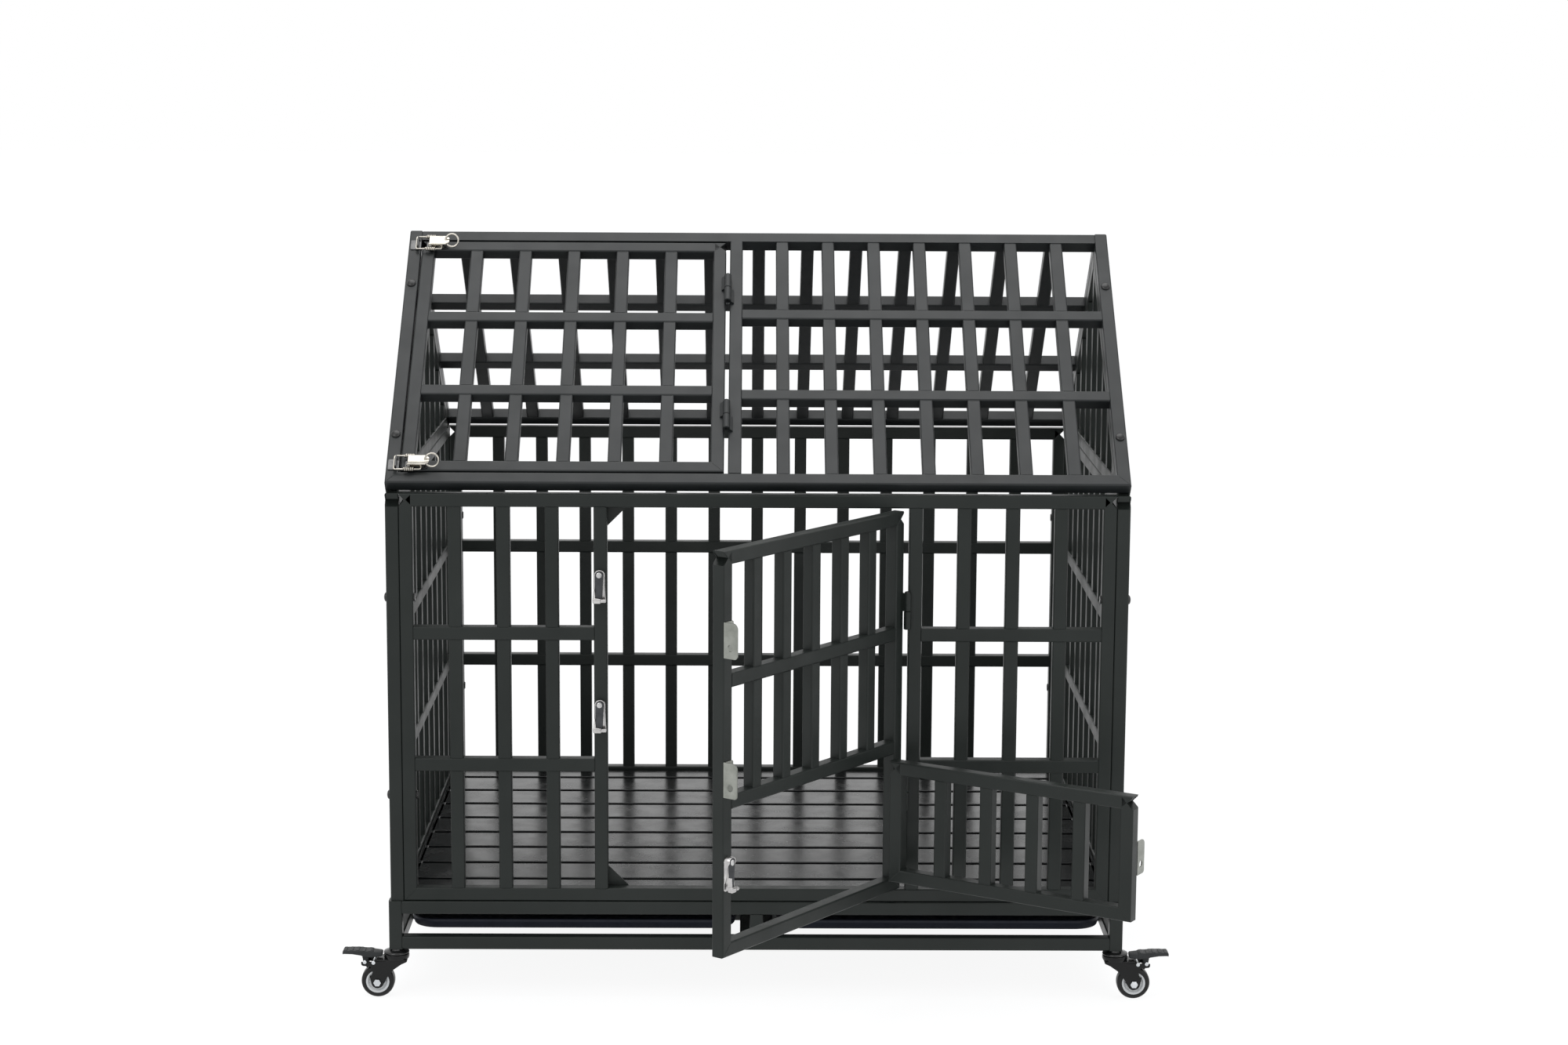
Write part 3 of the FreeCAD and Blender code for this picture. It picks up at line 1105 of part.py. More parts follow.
def make_fork(corner):
    body = corner_body(corner + "_fork", corner)
    cup_top = "(caster_height - 7 - race_gap)"
    disc(body, "lower_race", "XY_Plane", "0", "0", "race_radius", FORK_TOP + " - 1", cup_top)
    slab(body, "crown", "XY_Plane",
         [box_loop("-30", "-(fork_inner + fork_sheet)", "17", "fork_inner + fork_sheet")], FORK_TOP + " - fork_sheet",
         FORK_TOP)
    side = [[("-52", FORK_TOP), ("-52", FORK_TOP + " - 9"), ("-36", FORK_TOP + " - 10"), ("-34", FORK_TOP + " - 19"),
             ("-(axle_offset + 9.5)", "wheel_radius + 1"), ("-axle_offset", "wheel_radius"),
             ("-(axle_offset - 8)", "wheel_radius - 5"), ("-11", "wheel_radius + 6.7"),
             ("-2.5", "wheel_radius + 20"), ("17", FORK_TOP + " - 2.5"), ("17", FORK_TOP)]]
    for name, low, high in (("near", "-(fork_inner + fork_sheet)", "-fork_inner"),
                            ("far", "fork_inner", "fork_inner + fork_sheet")):
        slab(body, name + "_cheek", "XZ_Plane", side, low, high)
        disc(body, name + "_eye", "XZ_Plane", "-axle_offset", "wheel_radius", "9.5", low, high)
    reach = "(fork_inner + fork_sheet + 1)"
    disc(body, "axle_hole", "XZ_Plane", "-axle_offset", "wheel_radius", "axle_radius + pin_fit",
         "-" + reach, reach, cut=True)
    disc(body, "pedal_hole", "XZ_Plane", "-pedal_pivot", FORK_TOP + " - 3.5", "2 + pin_fit", "-" + reach, reach, cut=True)
    disc(body, "tie_hole", "XZ_Plane", "-(pedal_pivot - 13)", FORK_TOP + " - 4.5", "2 + pin_fit", "-" + reach, reach,
         cut=True)
    disc(body, "king_hole", "XY_Plane", "0", "0", "4.1", FORK_TOP + " - 5", cup_top + " + 1", cut=True)
    return body


def make_pedal(corner):
    body = corner_body(corner + "_brake_pedal", corner)
    top = FORK_TOP
    profile = [[("-21", top + " + 3"), ("-21", top + " + 10"), ("-34", top + " + 11"), ("-36", top + " + 12"),
                ("-50", top + " + 12"), ("-52", top + " + 13"), ("-80", top + " + 12.5"), ("-80.5", top + " + 6"),
                ("-76", top + " + 5.5"), ("-74", top + " + 8"), ("-54", top + " + 3.5"), ("-50", top + " + 0.5"),
                ("-30", top + " + 0.5")]]
    slab(body, "tread", "XZ_Plane", profile, "-11.5", "11.5")
    rib = slab(body, "rib", "XZ_Plane", [box_loop("-78", top + " + 12", "-76.5", top + " + 13.6")], "-10.5", "10.5")
    pattern(body, "ribs", [rib], "X_Axis", "6", "22")
    slab(body, "shoe", "XZ_Plane",
         [[("-51", top + " + 2"), ("-42", top + " + 2"), ("-42.5", top + " - 6"), ("-41.5", top + " - 13"),
           ("-44", top + " - 14"), ("-49", top + " - 8")]], "-9", "9")
    disc(body, "pivot_hole", "XZ_Plane", "-pedal_pivot", top + " - 3.5", "2 + pin_fit", "-10", "10", cut=True)
    return body


def wheel_body(label, corner):
    """Start a wheel piece on the axle, with its own Z axis along the axle."""
    x, y = stem_place(corner)
    side = CORNERS[corner][0]
    return new_body(label, "%s + %d * axle_offset" % (x, side), y, "wheel_radius", axis=(1, 0, 0), angle="90")


def make_tyre(corner):
    body = wheel_body(corner + "_tyre", corner)
    half = "(wheel_width / 2)"
    revolve(body, "tyre", [[
        ("hub_radius", "-" + half), ("wheel_radius - 4", "-" + half), ("wheel_radius - 1", "-(%s - 2)" % half),
        ("wheel_radius", "-(%s - 5)" % half), ("wheel_radius", half + " - 5"), ("wheel_radius - 1", half + " - 2"),
        ("wheel_radius - 4", half), ("hub_radius", half)]])
    return body


def make_hub(corner):
    body = wheel_body(corner + "_hub", corner)
    half = "(wheel_width / 2)"
    bore_radius = "axle_radius + pin_fit"
    boss = "(fork_inner - 0.4)"
    revolve(body, "hub", [[
        (bore_radius, "-" + boss), ("6.5", "-" + boss), ("7", "-(%s - 2)" % half), ("hub_radius - 4", "-(%s - 2)" % half),
        ("hub_radius - 3", "-%s" % half), ("hub_radius", "-%s" % half), ("hub_radius", half),
        ("hub_radius - 3", half), ("hub_radius - 4", half + " - 2"), ("7", half + " - 2"), ("6.5", boss),
        (bore_radius, boss)]])
    return body


def make_caster_bolts(corner):
    body = corner_body(corner + "_caster_bolts", corner)
    outer = "(fork_inner + fork_sheet)"
    axle = ("-axle_offset", "wheel_radius")
    disc(body, "axle", "XZ_Plane", axle[0], axle[1], "axle_radius", "-(%s + 1)" % outer, outer + " + 4.5")
    hexagon = []
    for step in range(6):
        turn = math.radians(60 * step)
        hexagon.append(("%s + %.4f" % (axle[0], 5.8 * math.cos(turn)), "%s + %.4f" % (axle[1], 5.8 * math.sin(turn))))
    slab(body, "axle_head", "XZ_Plane", [hexagon], "-(%s + 4)" % outer, "-%s" % outer)
    slab(body, "axle_nut", "XZ_Plane", [hexagon], outer, outer + " + 4")
    for name, x, z in (("pedal_rivet", "-pedal_pivot", FORK_TOP + " - 3.5"),
                       ("tie_rivet", "-(pedal_pivot - 13)", FORK_TOP + " - 4.5")):
        disc(body, name, "XZ_Plane", x, z, "2", "-(%s + 0.5)" % outer, outer + " + 0.5")
        disc(body, name + "_head", "XZ_Plane", x, z, "3", "-(%s + 1.4)" % outer, "-%s" % outer)
        disc(body, name + "_tail", "XZ_Plane", x, z, "3", outer, outer + " + 1.4")
    return body


make_base_frame()
make_floor_grate()
make_front_panel()
make_back_panel()
make_side_panel("left_panel", -1)
make_side_panel("right_panel", 1)
make_gable("left_gable", -1)
make_gable("right_gable", 1)
make_roof_front_frame()
make_roof_back_panel()
make_main_door()
make_small_door()
make_roof_door()
main_spacing = "(panel_height - 2 * main_hinge_drop - 2 * knuckle_length - knuckle_gap)"
make_pins("main_hinge_pins", PIN_X, PIN_Y, BASE_TOP + " + main_hinge_drop", "knuckle_length", main_spacing)
small_x, small_y = door_point(SMALL_PIN_X, SMALL_PIN_Y)
small_spacing = "(%s - 2 * small_hinge_drop - 2 * small_knuckle - knuckle_gap)" % SMALL_TALL
make_pins("small_hinge_pins", small_x, small_y, SMALL_FOOT + " + small_hinge_drop", "small_knuckle", small_spacing)
roof_spacing = "(%s - 2 * tube - 2 * roof_hinge_inset - 2 * knuckle_length - knuckle_gap)" % SLOPE
pin_x, pin_y, pin_z = roof_point(ROOF_PIN_X, "-hinge_proud", "tube + roof_hinge_inset")
make_pins("roof_hinge_pins", pin_x, pin_y, pin_z, "knuckle_length", roof_spacing, axis=(-1, 0, 0), angle=LEAN)

# The jamb latches hang on the left jamb, and the third one on the main door's free stile.
jamb_x = "(-(door_opening / 2) - latch_offset)"
upper_z = "(%s - latch_upper_drop)" % PANEL_TOP
lower_z = "(%s - latch_lower_drop)" % PANEL_TOP
latch_spacing = "latch_lower_drop - latch_upper_drop"
make_housing("jamb_latch_housings", jamb_x, FRONT, lower_z, spacing=latch_spacing)
make_rivets("jamb_latch_rivets", jamb_x, FRONT, lower_z, spacing=latch_spacing)
make_lever("upper_jamb_latch_lever", jamb_x, FRONT, upper_z)
make_lever("lower_jamb_latch_lever", jamb_x, FRONT, lower_z)
stile = "(-(door_gap / 2 + %s - tube + latch_offset))" % DOOR_LONG
latch_x, latch_y = door_point(stile, DOOR_FACE)
small_z = "(%s + %s - small_latch_drop)" % (SMALL_FOOT, SMALL_TALL)
turned = {"axis": (0, 0, 1), "angle": "main_door_angle"}
make_housing("small_latch_housing", latch_x, latch_y, small_z, **turned)
make_rivets("small_latch_rivet", latch_x, latch_y, small_z, **turned)
make_lever("small_latch_lever", latch_x, latch_y, small_z, **turned)
make_main_strikes()
make_small_strike()

make_toggle_bases()
make_toggle_rods()
make_keepers()
for place in TOGGLES:
    make_toggle_lever(place)
    make_bail(place)
    make_pull_ring(place)
make_tray("left_tray", -1)
make_tray("right_tray", 1)
make_panel_bolts()
make_roof_bolts("roof_front_bolts", -1)
make_roof_bolts("roof_back_bolts", 1)
make_caster_races()
for corner in CORNERS:
    make_fork(corner)
    make_pedal(corner)
    make_tyre(corner)
    make_hub(corner)
    make_caster_bolts(corner)
doc.recompute()

# Every object has to be sound before anything is written.
for item in doc.Objects:
    if "Invalid" in item.State or "Error" in item.State:
        raise RuntimeError("%s failed: %s" % (item.Name, item.State))
os.makedirs("parts", exist_ok=True)
for item in PARTS:
    shape = item.Shape
    if shape.isNull() or not shape.isValid():
        raise RuntimeError(item.Label + " has no valid shape")
    shape.exportStep("parts/%s.step" % item.Label)
print("sub-parts written: %d" % len(PARTS))
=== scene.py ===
"""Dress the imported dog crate: rounded and mitred tube with weld beads, pressed latches, casters and finishes."""
import json
import math

import bpy
import numpy as np
from mathutils import Matrix, Vector


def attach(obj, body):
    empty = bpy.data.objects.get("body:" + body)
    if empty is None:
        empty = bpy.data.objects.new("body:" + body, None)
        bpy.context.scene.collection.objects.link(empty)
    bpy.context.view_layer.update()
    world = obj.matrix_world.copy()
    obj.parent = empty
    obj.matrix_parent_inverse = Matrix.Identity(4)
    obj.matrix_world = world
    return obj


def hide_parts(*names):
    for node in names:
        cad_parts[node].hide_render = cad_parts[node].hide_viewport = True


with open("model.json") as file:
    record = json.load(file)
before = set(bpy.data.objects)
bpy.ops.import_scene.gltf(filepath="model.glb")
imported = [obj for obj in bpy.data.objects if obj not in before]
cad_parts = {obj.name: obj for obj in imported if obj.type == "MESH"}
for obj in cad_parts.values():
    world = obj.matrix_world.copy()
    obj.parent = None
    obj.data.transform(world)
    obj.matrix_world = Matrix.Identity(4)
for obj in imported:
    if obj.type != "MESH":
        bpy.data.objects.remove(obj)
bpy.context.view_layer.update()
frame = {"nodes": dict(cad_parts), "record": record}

# Sizes of the crate in millimetres, as the solids have them.
TUBE = 20.0
BAR_WIDE = 20.0
BAR_DEEP = 18.0
LENGTH = 1100.0
DEPTH = 780.0
CENTRE = 179.3
FRONT = CENTRE - DEPTH / 2
BACK = CENTRE + DEPTH / 2
CASTER_TALL = 75.0
BASE_TOP = 150.0
PANEL_TALL = 620.0
PANEL_TOP = BASE_TOP + PANEL_TALL
OVERHANG = 3.0
EAVE_LIFT = 17.0
ROOF_RISE = 342.0
SLOPE = math.hypot(DEPTH / 2, ROOF_RISE)
LEAN = math.degrees(math.atan2(DEPTH / 2, ROOF_RISE))
PITCH = ROOF_RISE / (DEPTH / 2)
OPENING = 446.0
GAP = 3.0
PROUD = 6.5
DOOR_ANGLE = 53.3
SMALL_ANGLE = 95.0
ROOF_POST = 35.2
ROUND = 2.4
KNUCKLE = 27.0
KNUCKLE_GAP = 0.6
KNUCKLE_PAIR = 54.6
HINGE_DROP = 145.0
SMALL_KNUCKLE = 21.0
SMALL_PAIR = 42.6
SMALL_DROP = 24.0
ROOF_INSET = 81.0
DOOR_ROW = 172.0
SMALL_LATCH_DROP = 69.0
LATCH_OFFSET = 11.7
STRIKE_SHEET = 2.0
STRIKE_STAND = 23.0
TRAY_INNER = 30.0
TRAY_RUNNER = 50.0
BEARER_ROW = 230.0
FLOOR_GAP = 0.4
TRAY_INSET = 22.0
GUSSET = 30.0
GUSSET_SHEET = 2.5
AXLE_OFFSET = 28.0
WHEEL_RADIUS = 25.0

# Where a part that was drawn with its length along w is turned to: its length along x, or along y.
ALONG_X = ((0, 1, 0), (0, 0, 1), (1, 0, 0))
ALONG_Y = ((0, 0, 1), (1, 0, 0), (0, 1, 0))


# Ways of laying out shapes. A part is its points, its faces' corners, its faces' sizes and its corners' normals.
def seat(x=0.0, y=0.0, z=0.0, axis=(0, 0, 1), degrees=0.0):
    """Give a place: its origin, and the matrix that turns by the given angle about the axis.

    Rodrigues: R = cos a I + sin a [k]x + (1 - cos a) k k^T
    """
    k = np.array(axis, float) / np.linalg.norm(axis)
    a = math.radians(degrees)
    cross = np.array([[0, -k[2], k[1]], [k[2], 0, -k[0]], [-k[1], k[0], 0]])
    turn = math.cos(a) * np.eye(3) + math.sin(a) * cross + (1 - math.cos(a)) * np.outer(k, k)
    return np.array([x, y, z], float), turn


def placed(part, place):
    """Carry a part into a place: p' = R p + o, n' = R n."""
    points, corners, sizes, normals = part
    origin, turn = place
    return points @ turn.T + origin, corners, sizes, normals @ turn.T


def along_axes(part, u, v, w):
    """Lay a part's own u, v and w directions along three others that make a right hand."""
    points, corners, sizes, normals = part
    turn = np.array([u, v, w], float)
    return points @ turn, corners, sizes, normals @ turn


def lifted(part, x, y, z=0.0):
    """Shift a part."""
    points, corners, sizes, normals = part
    return points + np.array([x, y, z]), corners, sizes, normals


def outward(part, x=0.0, z=0.0):
    """Stand a part that was drawn in (u, v, w) on an upright face: u along x, v along z, w out towards -y."""
    return lifted(along_axes(part, (1, 0, 0), (0, 0, 1), (0, -1, 0)), x, 0, z)


def joined(parts):
    """Put many parts into one, with each part's corners counted on from the last one's points."""
    shift = np.cumsum([0] + [len(part[0]) for part in parts[:-1]])
    return (np.concatenate([part[0] for part in parts]),
            np.concatenate([part[1] + s for part, s in zip(parts, shift)]),
            np.concatenate([part[2] for part in parts]),
            np.concatenate([part[3] for part in parts]))


def edge_normals(outline, closed=True, crease=42.0):
    """Give the outward normals at both ends of each edge of an anticlockwise outline.

    n = (dv, -du) / length. Edges that turn by less than the crease share the sum of their normals, weighted by
    the square of their lengths, so that a flat beside a rounding stays flat.
    """
    step = np.roll(outline, -1, axis=0) - outline
    length = np.maximum(np.linalg.norm(step, axis=1, keepdims=True), 1e-9)
    normal = np.column_stack([step[:, 1], -step[:, 0]]) / length
    weighted = normal * length ** 2
    shared = weighted + np.roll(weighted, 1, axis=0)
    shared /= np.maximum(np.linalg.norm(shared, axis=1, keepdims=True), 1e-9)
    smooth = (normal * np.roll(normal, 1, axis=0)).sum(axis=1) > math.cos(math.radians(crease))
    if not closed:
        smooth[0] = False
    start = np.where(smooth[:, None], shared, normal)
    end = np.where(np.roll(smooth, -1)[:, None], np.roll(shared, -1, axis=0), normal)
    return start, end


def prism(outline, low, high, low_slope=(0.0, 0.0), high_slope=(0.0, 0.0)):
    """Carry a closed outline (u, v) straight along w, between two ends w = level + slope . (u, v)."""
    outline = np.asarray(outline, float)
    count = len(outline)
    rings = [np.column_stack([outline, level + outline @ np.array(slope)])
             for level, slope in ((low, low_slope), (high, high_slope))]
    points = np.concatenate(rings)
    here = np.arange(count)
    after = np.roll(here, -1)
    sides = np.column_stack([here, after, after + count, here + count])
    start, end = edge_normals(outline)
    flat = np.stack([start, end, end, start], axis=1)
    side_normals = np.concatenate([flat, np.zeros((count, 4, 1))], axis=2).reshape(-1, 3)
    corners = np.concatenate([sides.ravel(), here[::-1], here + count])
    sizes = np.concatenate([np.full(count, 4), [count, count]])
    normals = np.concatenate([side_normals, np.tile([0.0, 0, -1], (count, 1)), np.tile([0.0, 0, 1], (count, 1))])
    return points, corners, sizes, normals


def level_ring(outline, height):
    """Give a flat outline in (u, v) the same height w all round."""
    return np.column_stack([outline, np.full(len(outline), height)])


def box_outline(u0, v0, u1, v1, radius=0.0, steps=3):
    """Outline of a box with rounded corners: corner centre + radius (cos a, sin a), a over a quarter turn."""
    if radius <= 0:
        return np.array([[u0, v0], [u1, v0], [u1, v1], [u0, v1]], float)
    angle = np.linspace(0, math.pi / 2, steps + 1)
    found = []
    for quarter, (u, v) in enumerate(((u1 - radius, v1 - radius), (u0 + radius, v1 - radius),
                                      (u0 + radius, v0 + radius), (u1 - radius, v0 + radius))):
        turned = angle + quarter * math.pi / 2
        found.append(np.column_stack([u + radius * np.cos(turned), v + radius * np.sin(turned)]))
    return np.concatenate(found)


def rail(x0, x1, z0, z1, y0, y1, mitres=(0, 0), radius=ROUND):
    """Tube along x. A mitre of 1 leans its end inwards as z grows, and one of -1 as z falls."""
    middle_y, middle_z = (y0 + y1) / 2, (z0 + z1) / 2
    half_y, half_z = (y1 - y0) / 2, (z1 - z0) / 2
    start, end = mitres
    part = prism(box_outline(-half_y, -half_z, half_y, half_z, radius), x0 + abs(start) * half_z,
                 x1 - abs(end) * half_z, (0.0, start), (0.0, -end))
    return lifted(along_axes(part, *ALONG_X), 0, middle_y, middle_z)


def post(z0, z1, x0, x1, y0, y1, mitres=(0, 0), radius=ROUND, high_slope=None):
    """Tube along z, with mitres that lean its ends as x grows or falls."""
    middle_x, middle_y = (x0 + x1) / 2, (y0 + y1) / 2
    half_x, half_y = (x1 - x0) / 2, (y1 - y0) / 2
    start, end = mitres
    slope = (-end, 0.0) if high_slope is None else high_slope
    part = prism(box_outline(-half_x, -half_y, half_x, half_y, radius), z0 + abs(start) * half_x,
                 z1 - abs(end) * half_x, (start, 0.0), slope)
    return lifted(part, middle_x, middle_y)


def swept(path, radius, sides=8, closed=False):
    """Carry a circle along a path of points, with a frame that turns as little as it can.

    surface(s, a) = path(s) + r(s) (cos a N(s) + sin a B(s)); the ends are closed by a fan at the path's own points.
    """
    path = np.asarray(path, float)
    count = len(path)
    radius = np.broadcast_to(np.asarray(radius, float), (count,))
    ahead = np.roll(path, -1, axis=0) - np.roll(path, 1, axis=0)
    if not closed:
        ahead[0] = path[1] - path[0]
        ahead[-1] = path[-1] - path[-2]
    ahead /= np.linalg.norm(ahead, axis=1, keepdims=True)
    across = np.cross(ahead[0], (0.31, 0.52, 0.79))
    frames = []
    for tangent in ahead:
        across = across - tangent * across.dot(tangent)
        across = across / np.linalg.norm(across)
        frames.append(across)
    first = np.array(frames)
    second = np.cross(ahead, first)
    angle = np.linspace(0, 2 * math.pi, sides, endpoint=False)
    ring = first[:, None, :] * np.cos(angle)[None, :, None] + second[:, None, :] * np.sin(angle)[None, :, None]
    points = (path[:, None, :] + ring * radius[:, None, None]).reshape(-1, 3)
    spans = count if closed else count - 1
    i, j = np.meshgrid(np.arange(spans), np.arange(sides), indexing="ij")
    k = (j + 1) % sides
    n = (i + 1) % count
    quads = np.stack([i * sides + j, i * sides + k, n * sides + k, n * sides + j], axis=-1).reshape(-1, 4)
    flat = ring.reshape(-1, 3)
    corners = [quads.ravel()]
    sizes = [np.full(len(quads), 4)]
    normals = [flat[quads.ravel()]]
    if not closed:
        last = (count - 1) * sides + np.arange(sides)
        corners += [np.arange(sides)[::-1], last]
        sizes.append(np.array([sides, sides]))
        normals += [np.tile(-ahead[0], (sides, 1)), np.tile(ahead[-1], (sides, 1))]
    return points, np.concatenate(corners), np.concatenate(sizes), np.concatenate(normals)


def turned(profile, sides=24, crease=42.0):
    """Spin a profile (radius, height) about z: p = (r cos a, r sin a, h), with any point on the axis as a pole."""
    profile = np.asarray(profile, float)
    count = len(profile)
    angle = np.linspace(0, 2 * math.pi, sides, endpoint=False)
    circle = np.column_stack([np.cos(angle), np.sin(angle)])
    on_axis = profile[:, 0] < 1e-6
    place = []
    points = []
    total = 0
    for (radius, height), pole in zip(profile, on_axis):
        place.append(total)
        ring = np.array([[0, 0, height]]) if pole else np.column_stack([radius * circle, np.full(sides, height)])
        points.append(ring)
        total += len(ring)
    loop = not (on_axis[0] or on_axis[-1])
    start, end = edge_normals(profile, closed=loop, crease=crease)
    here = np.arange(sides)
    after = np.roll(here, -1)
    middle = (circle + np.roll(circle, -1, axis=0)) / 2
    corners, sizes, normals = [], [], []
    for edge in range(count if loop else count - 1):
        other = (edge + 1) % count
        low, high = place[edge], place[other]
        if on_axis[edge] and on_axis[other]:
            continue
        if on_axis[edge]:
            index = np.column_stack([np.full(sides, low), high + after, high + here])
            spokes = [(start, middle), (end, circle[after]), (end, circle[here])]
        elif on_axis[other]:
            index = np.column_stack([low + here, low + after, np.full(sides, high)])
            spokes = [(start, circle[here]), (start, circle[after]), (end, middle)]
        else:
            index = np.column_stack([low + here, low + after, high + after, high + here])
            spokes = [(start, circle[here]), (start, circle[after]), (end, circle[after]), (end, circle[here])]
        normal = np.stack([np.column_stack([source[edge, 0] * spoke, np.full(sides, source[edge, 1])])
                           for source, spoke in spokes], axis=1)
        corners.append(index.ravel())
        sizes.append(np.full(sides, index.shape[1]))
        normals.append(normal.reshape(-1, 3))
    return np.concatenate(points), np.concatenate(corners), np.concatenate(sizes), np.concatenate(normals)


def bead(start, end, radius=1.1, seed=0):
    """Weld bead between two points: a low ridge whose radius ripples and fades, r = R (0.82 + 0.18 cos) fade."""
    start, end = np.asarray(start, float), np.asarray(end, float)
    t = np.linspace(0, 1, 13)
    path = start + (end - start) * t[:, None]
    ripple = 0.82 + 0.18 * np.cos(2 * math.pi * (5.5 * t + 0.37 * seed))
    fade = np.sqrt(np.clip(np.minimum(t, 1 - t) * 9, 0.09, 1))
    return swept(path, radius * ripple * fade, sides=6)


def frame_of_tube(x0, x1, z0, z1, y0, y1, seed=0):
    """Four tubes that meet in mitres, with a weld bead along each mitre on both faces."""
    parts = [rail(x0, x1, z0, z0 + TUBE, y0, y1, (1, 1)), rail(x0, x1, z1 - TUBE, z1, y0, y1, (-1, -1)),
             post(z0, z1, x0, x0 + TUBE, y0, y1, (1, -1)), post(z0, z1, x1 - TUBE, x1, y0, y1, (-1, 1))]
    for index, (x, z, dx, dz) in enumerate(((x0, z0, 1, 1), (x1, z0, -1, 1), (x0, z1, 1, -1), (x1, z1, -1, -1))):
        for y in (y0, y1):
            sink = 0.45 if y == y0 else -0.45
            parts.append(bead((x + 1.5 * dx, y + sink, z + 1.5 * dz), (x + 18.5 * dx, y + sink, z + 18.5 * dz),
                              seed=seed + index))
    return parts


def butt_beads(x, z0, z1, y0, y1, seed=0):
    """Weld beads down the two faces where a rail butts against a stile at x."""
    return [bead((x, y0 + 0.5, z0 + 2), (x, y0 + 0.5, z1 - 2), 1.0, seed),
            bead((x, y1 - 0.5, z0 + 2), (x, y1 - 0.5, z1 - 2), 1.0, seed + 1)]


def bars(first, last, count, z0, z1, y0, y1, high_slope=None):
    """Stand bars evenly between two stile centres."""
    inset = (TUBE - BAR_DEEP) / 2
    step = (last - first) / (count + 1)
    return [post(z0, z1, first + step * (k + 1) - BAR_WIDE / 2, first + step * (k + 1) + BAR_WIDE / 2,
                 y0 + inset, y1 - inset, high_slope=high_slope) for k in range(count)]


def foot_beads(first, last, count, levels, y0, y1):
    """Short weld beads across each bar where it meets a rail: one on each face, at every level."""
    inset = (TUBE - BAR_DEEP) / 2
    step = (last - first) / (count + 1)
    found = []
    for k in range(count):
        x = first + step * (k + 1)
        for order, z in enumerate(levels):
            for y in (y0 + inset, y1 - inset):
                found.append(bead((x - BAR_WIDE / 2 + 2, y, z), (x + BAR_WIDE / 2 - 2, y, z), 0.7, k + order))
    return found


def barred_field(x0, x1, z_levels, y0, y1, seed=0, other=2):
    """Rails between two stiles at the given heights of their feet, with beads at both ends."""
    found = []
    for order, z in enumerate(z_levels):
        found.append(rail(x0, x1, z, z + TUBE, y0, y1))
        found += butt_beads(x0, z, z + TUBE, y0, y1, seed + order)
        found += butt_beads(x1, z, z + TUBE, y0, y1, seed + order + other)
    return found


def barred_frame(x0, x1, z0, z1, y0, y1, count, levels, marks, seeds, bar_foot=0.0):
    """Mitred frame with rails at the given levels, bars between its stiles and short beads at the given marks."""
    first, last = x0 + TUBE / 2, x1 - TUBE / 2
    return (frame_of_tube(x0, x1, z0, z1, y0, y1, seeds[0])
            + barred_field(x0 + TUBE, x1 - TUBE, levels, y0, y1, seeds[1])
            + bars(first, last, count, z0 + bar_foot + TUBE / 2, z1 - TUBE / 2, y0, y1)
            + foot_beads(first, last, count, marks, y0, y1))


def knuckle(x, y, low, high, radius=5.5):
    """Hinge knuckle: a tube end with a small chamfer, spun about its pin."""
    soft = 0.7
    profile = [(0, low), (radius - soft, low), (radius, low + soft), (radius, high - soft), (radius - soft, high),
               (0, high)]
    return lifted(turned(profile), x, y)


def hinge_leaf(x, y, low, high, side, deep):
    """Knuckle on a pin, and the tab that joins it to the stile beside it, in to the given depth."""
    x0, x1 = sorted((x + side * 1.7, x + side * 5.5))
    return [knuckle(x, y, low, high), prism(box_outline(x0, y, x1, deep, 0.6, 2), low, high)]


# Finishes, each mixed from noise on the object's own coordinates.
def new_finish(name):
    """Start a material and give it with its node tree and its shader."""
    material = bpy.data.materials.new(name)
    material.use_nodes = True
    tree = material.node_tree
    shader = tree.nodes["Principled BSDF"]
    return material, tree, shader


def add_noise(tree, scale, detail=4.0, roughness=0.55, stretch=(1, 1, 1)):
    """Noise on object coordinates, with an optional stretch of its grain."""
    where = tree.nodes.new("ShaderNodeTexCoord")
    mapping = tree.nodes.new("ShaderNodeMapping")
    mapping.inputs["Scale"].default_value = stretch
    noise = tree.nodes.new("ShaderNodeTexNoise")
    noise.inputs["Scale"].default_value = scale
    noise.inputs["Detail"].default_value = detail
    noise.inputs["Roughness"].default_value = roughness
    tree.links.new(where.outputs["Object"], mapping.inputs["Vector"])
    tree.links.new(mapping.outputs["Vector"], noise.inputs["Vector"])
    return noise


def add_ramp(tree, source, stops):
    """Colours or greys spread over a source's value."""
    ramp = tree.nodes.new("ShaderNodeValToRGB")
    elements = ramp.color_ramp.elements
    while len(elements) < len(stops):
        elements.new(0.5)
    for element, (position, colour) in zip(elements, stops):
        element.position = position
        grey = colour if isinstance(colour, tuple) else (colour, colour, colour)
        element.color = (*grey, 1)
    tree.links.new(source.outputs[0], ramp.inputs["Fac"])
    return ramp


def add_bump(tree, shader, source, strength, distance):
    """Raise the surface by a source's value, on top of any bump already there."""
    bump = tree.nodes.new("ShaderNodeBump")
    bump.inputs["Strength"].default_value = strength
    bump.inputs["Distance"].default_value = distance
    old = shader.inputs["Normal"].links
    if old:
        tree.links.new(old[0].from_socket, bump.inputs["Normal"])
    tree.links.new(source.outputs[0], bump.inputs["Height"])
    tree.links.new(bump.outputs["Normal"], shader.inputs["Normal"])


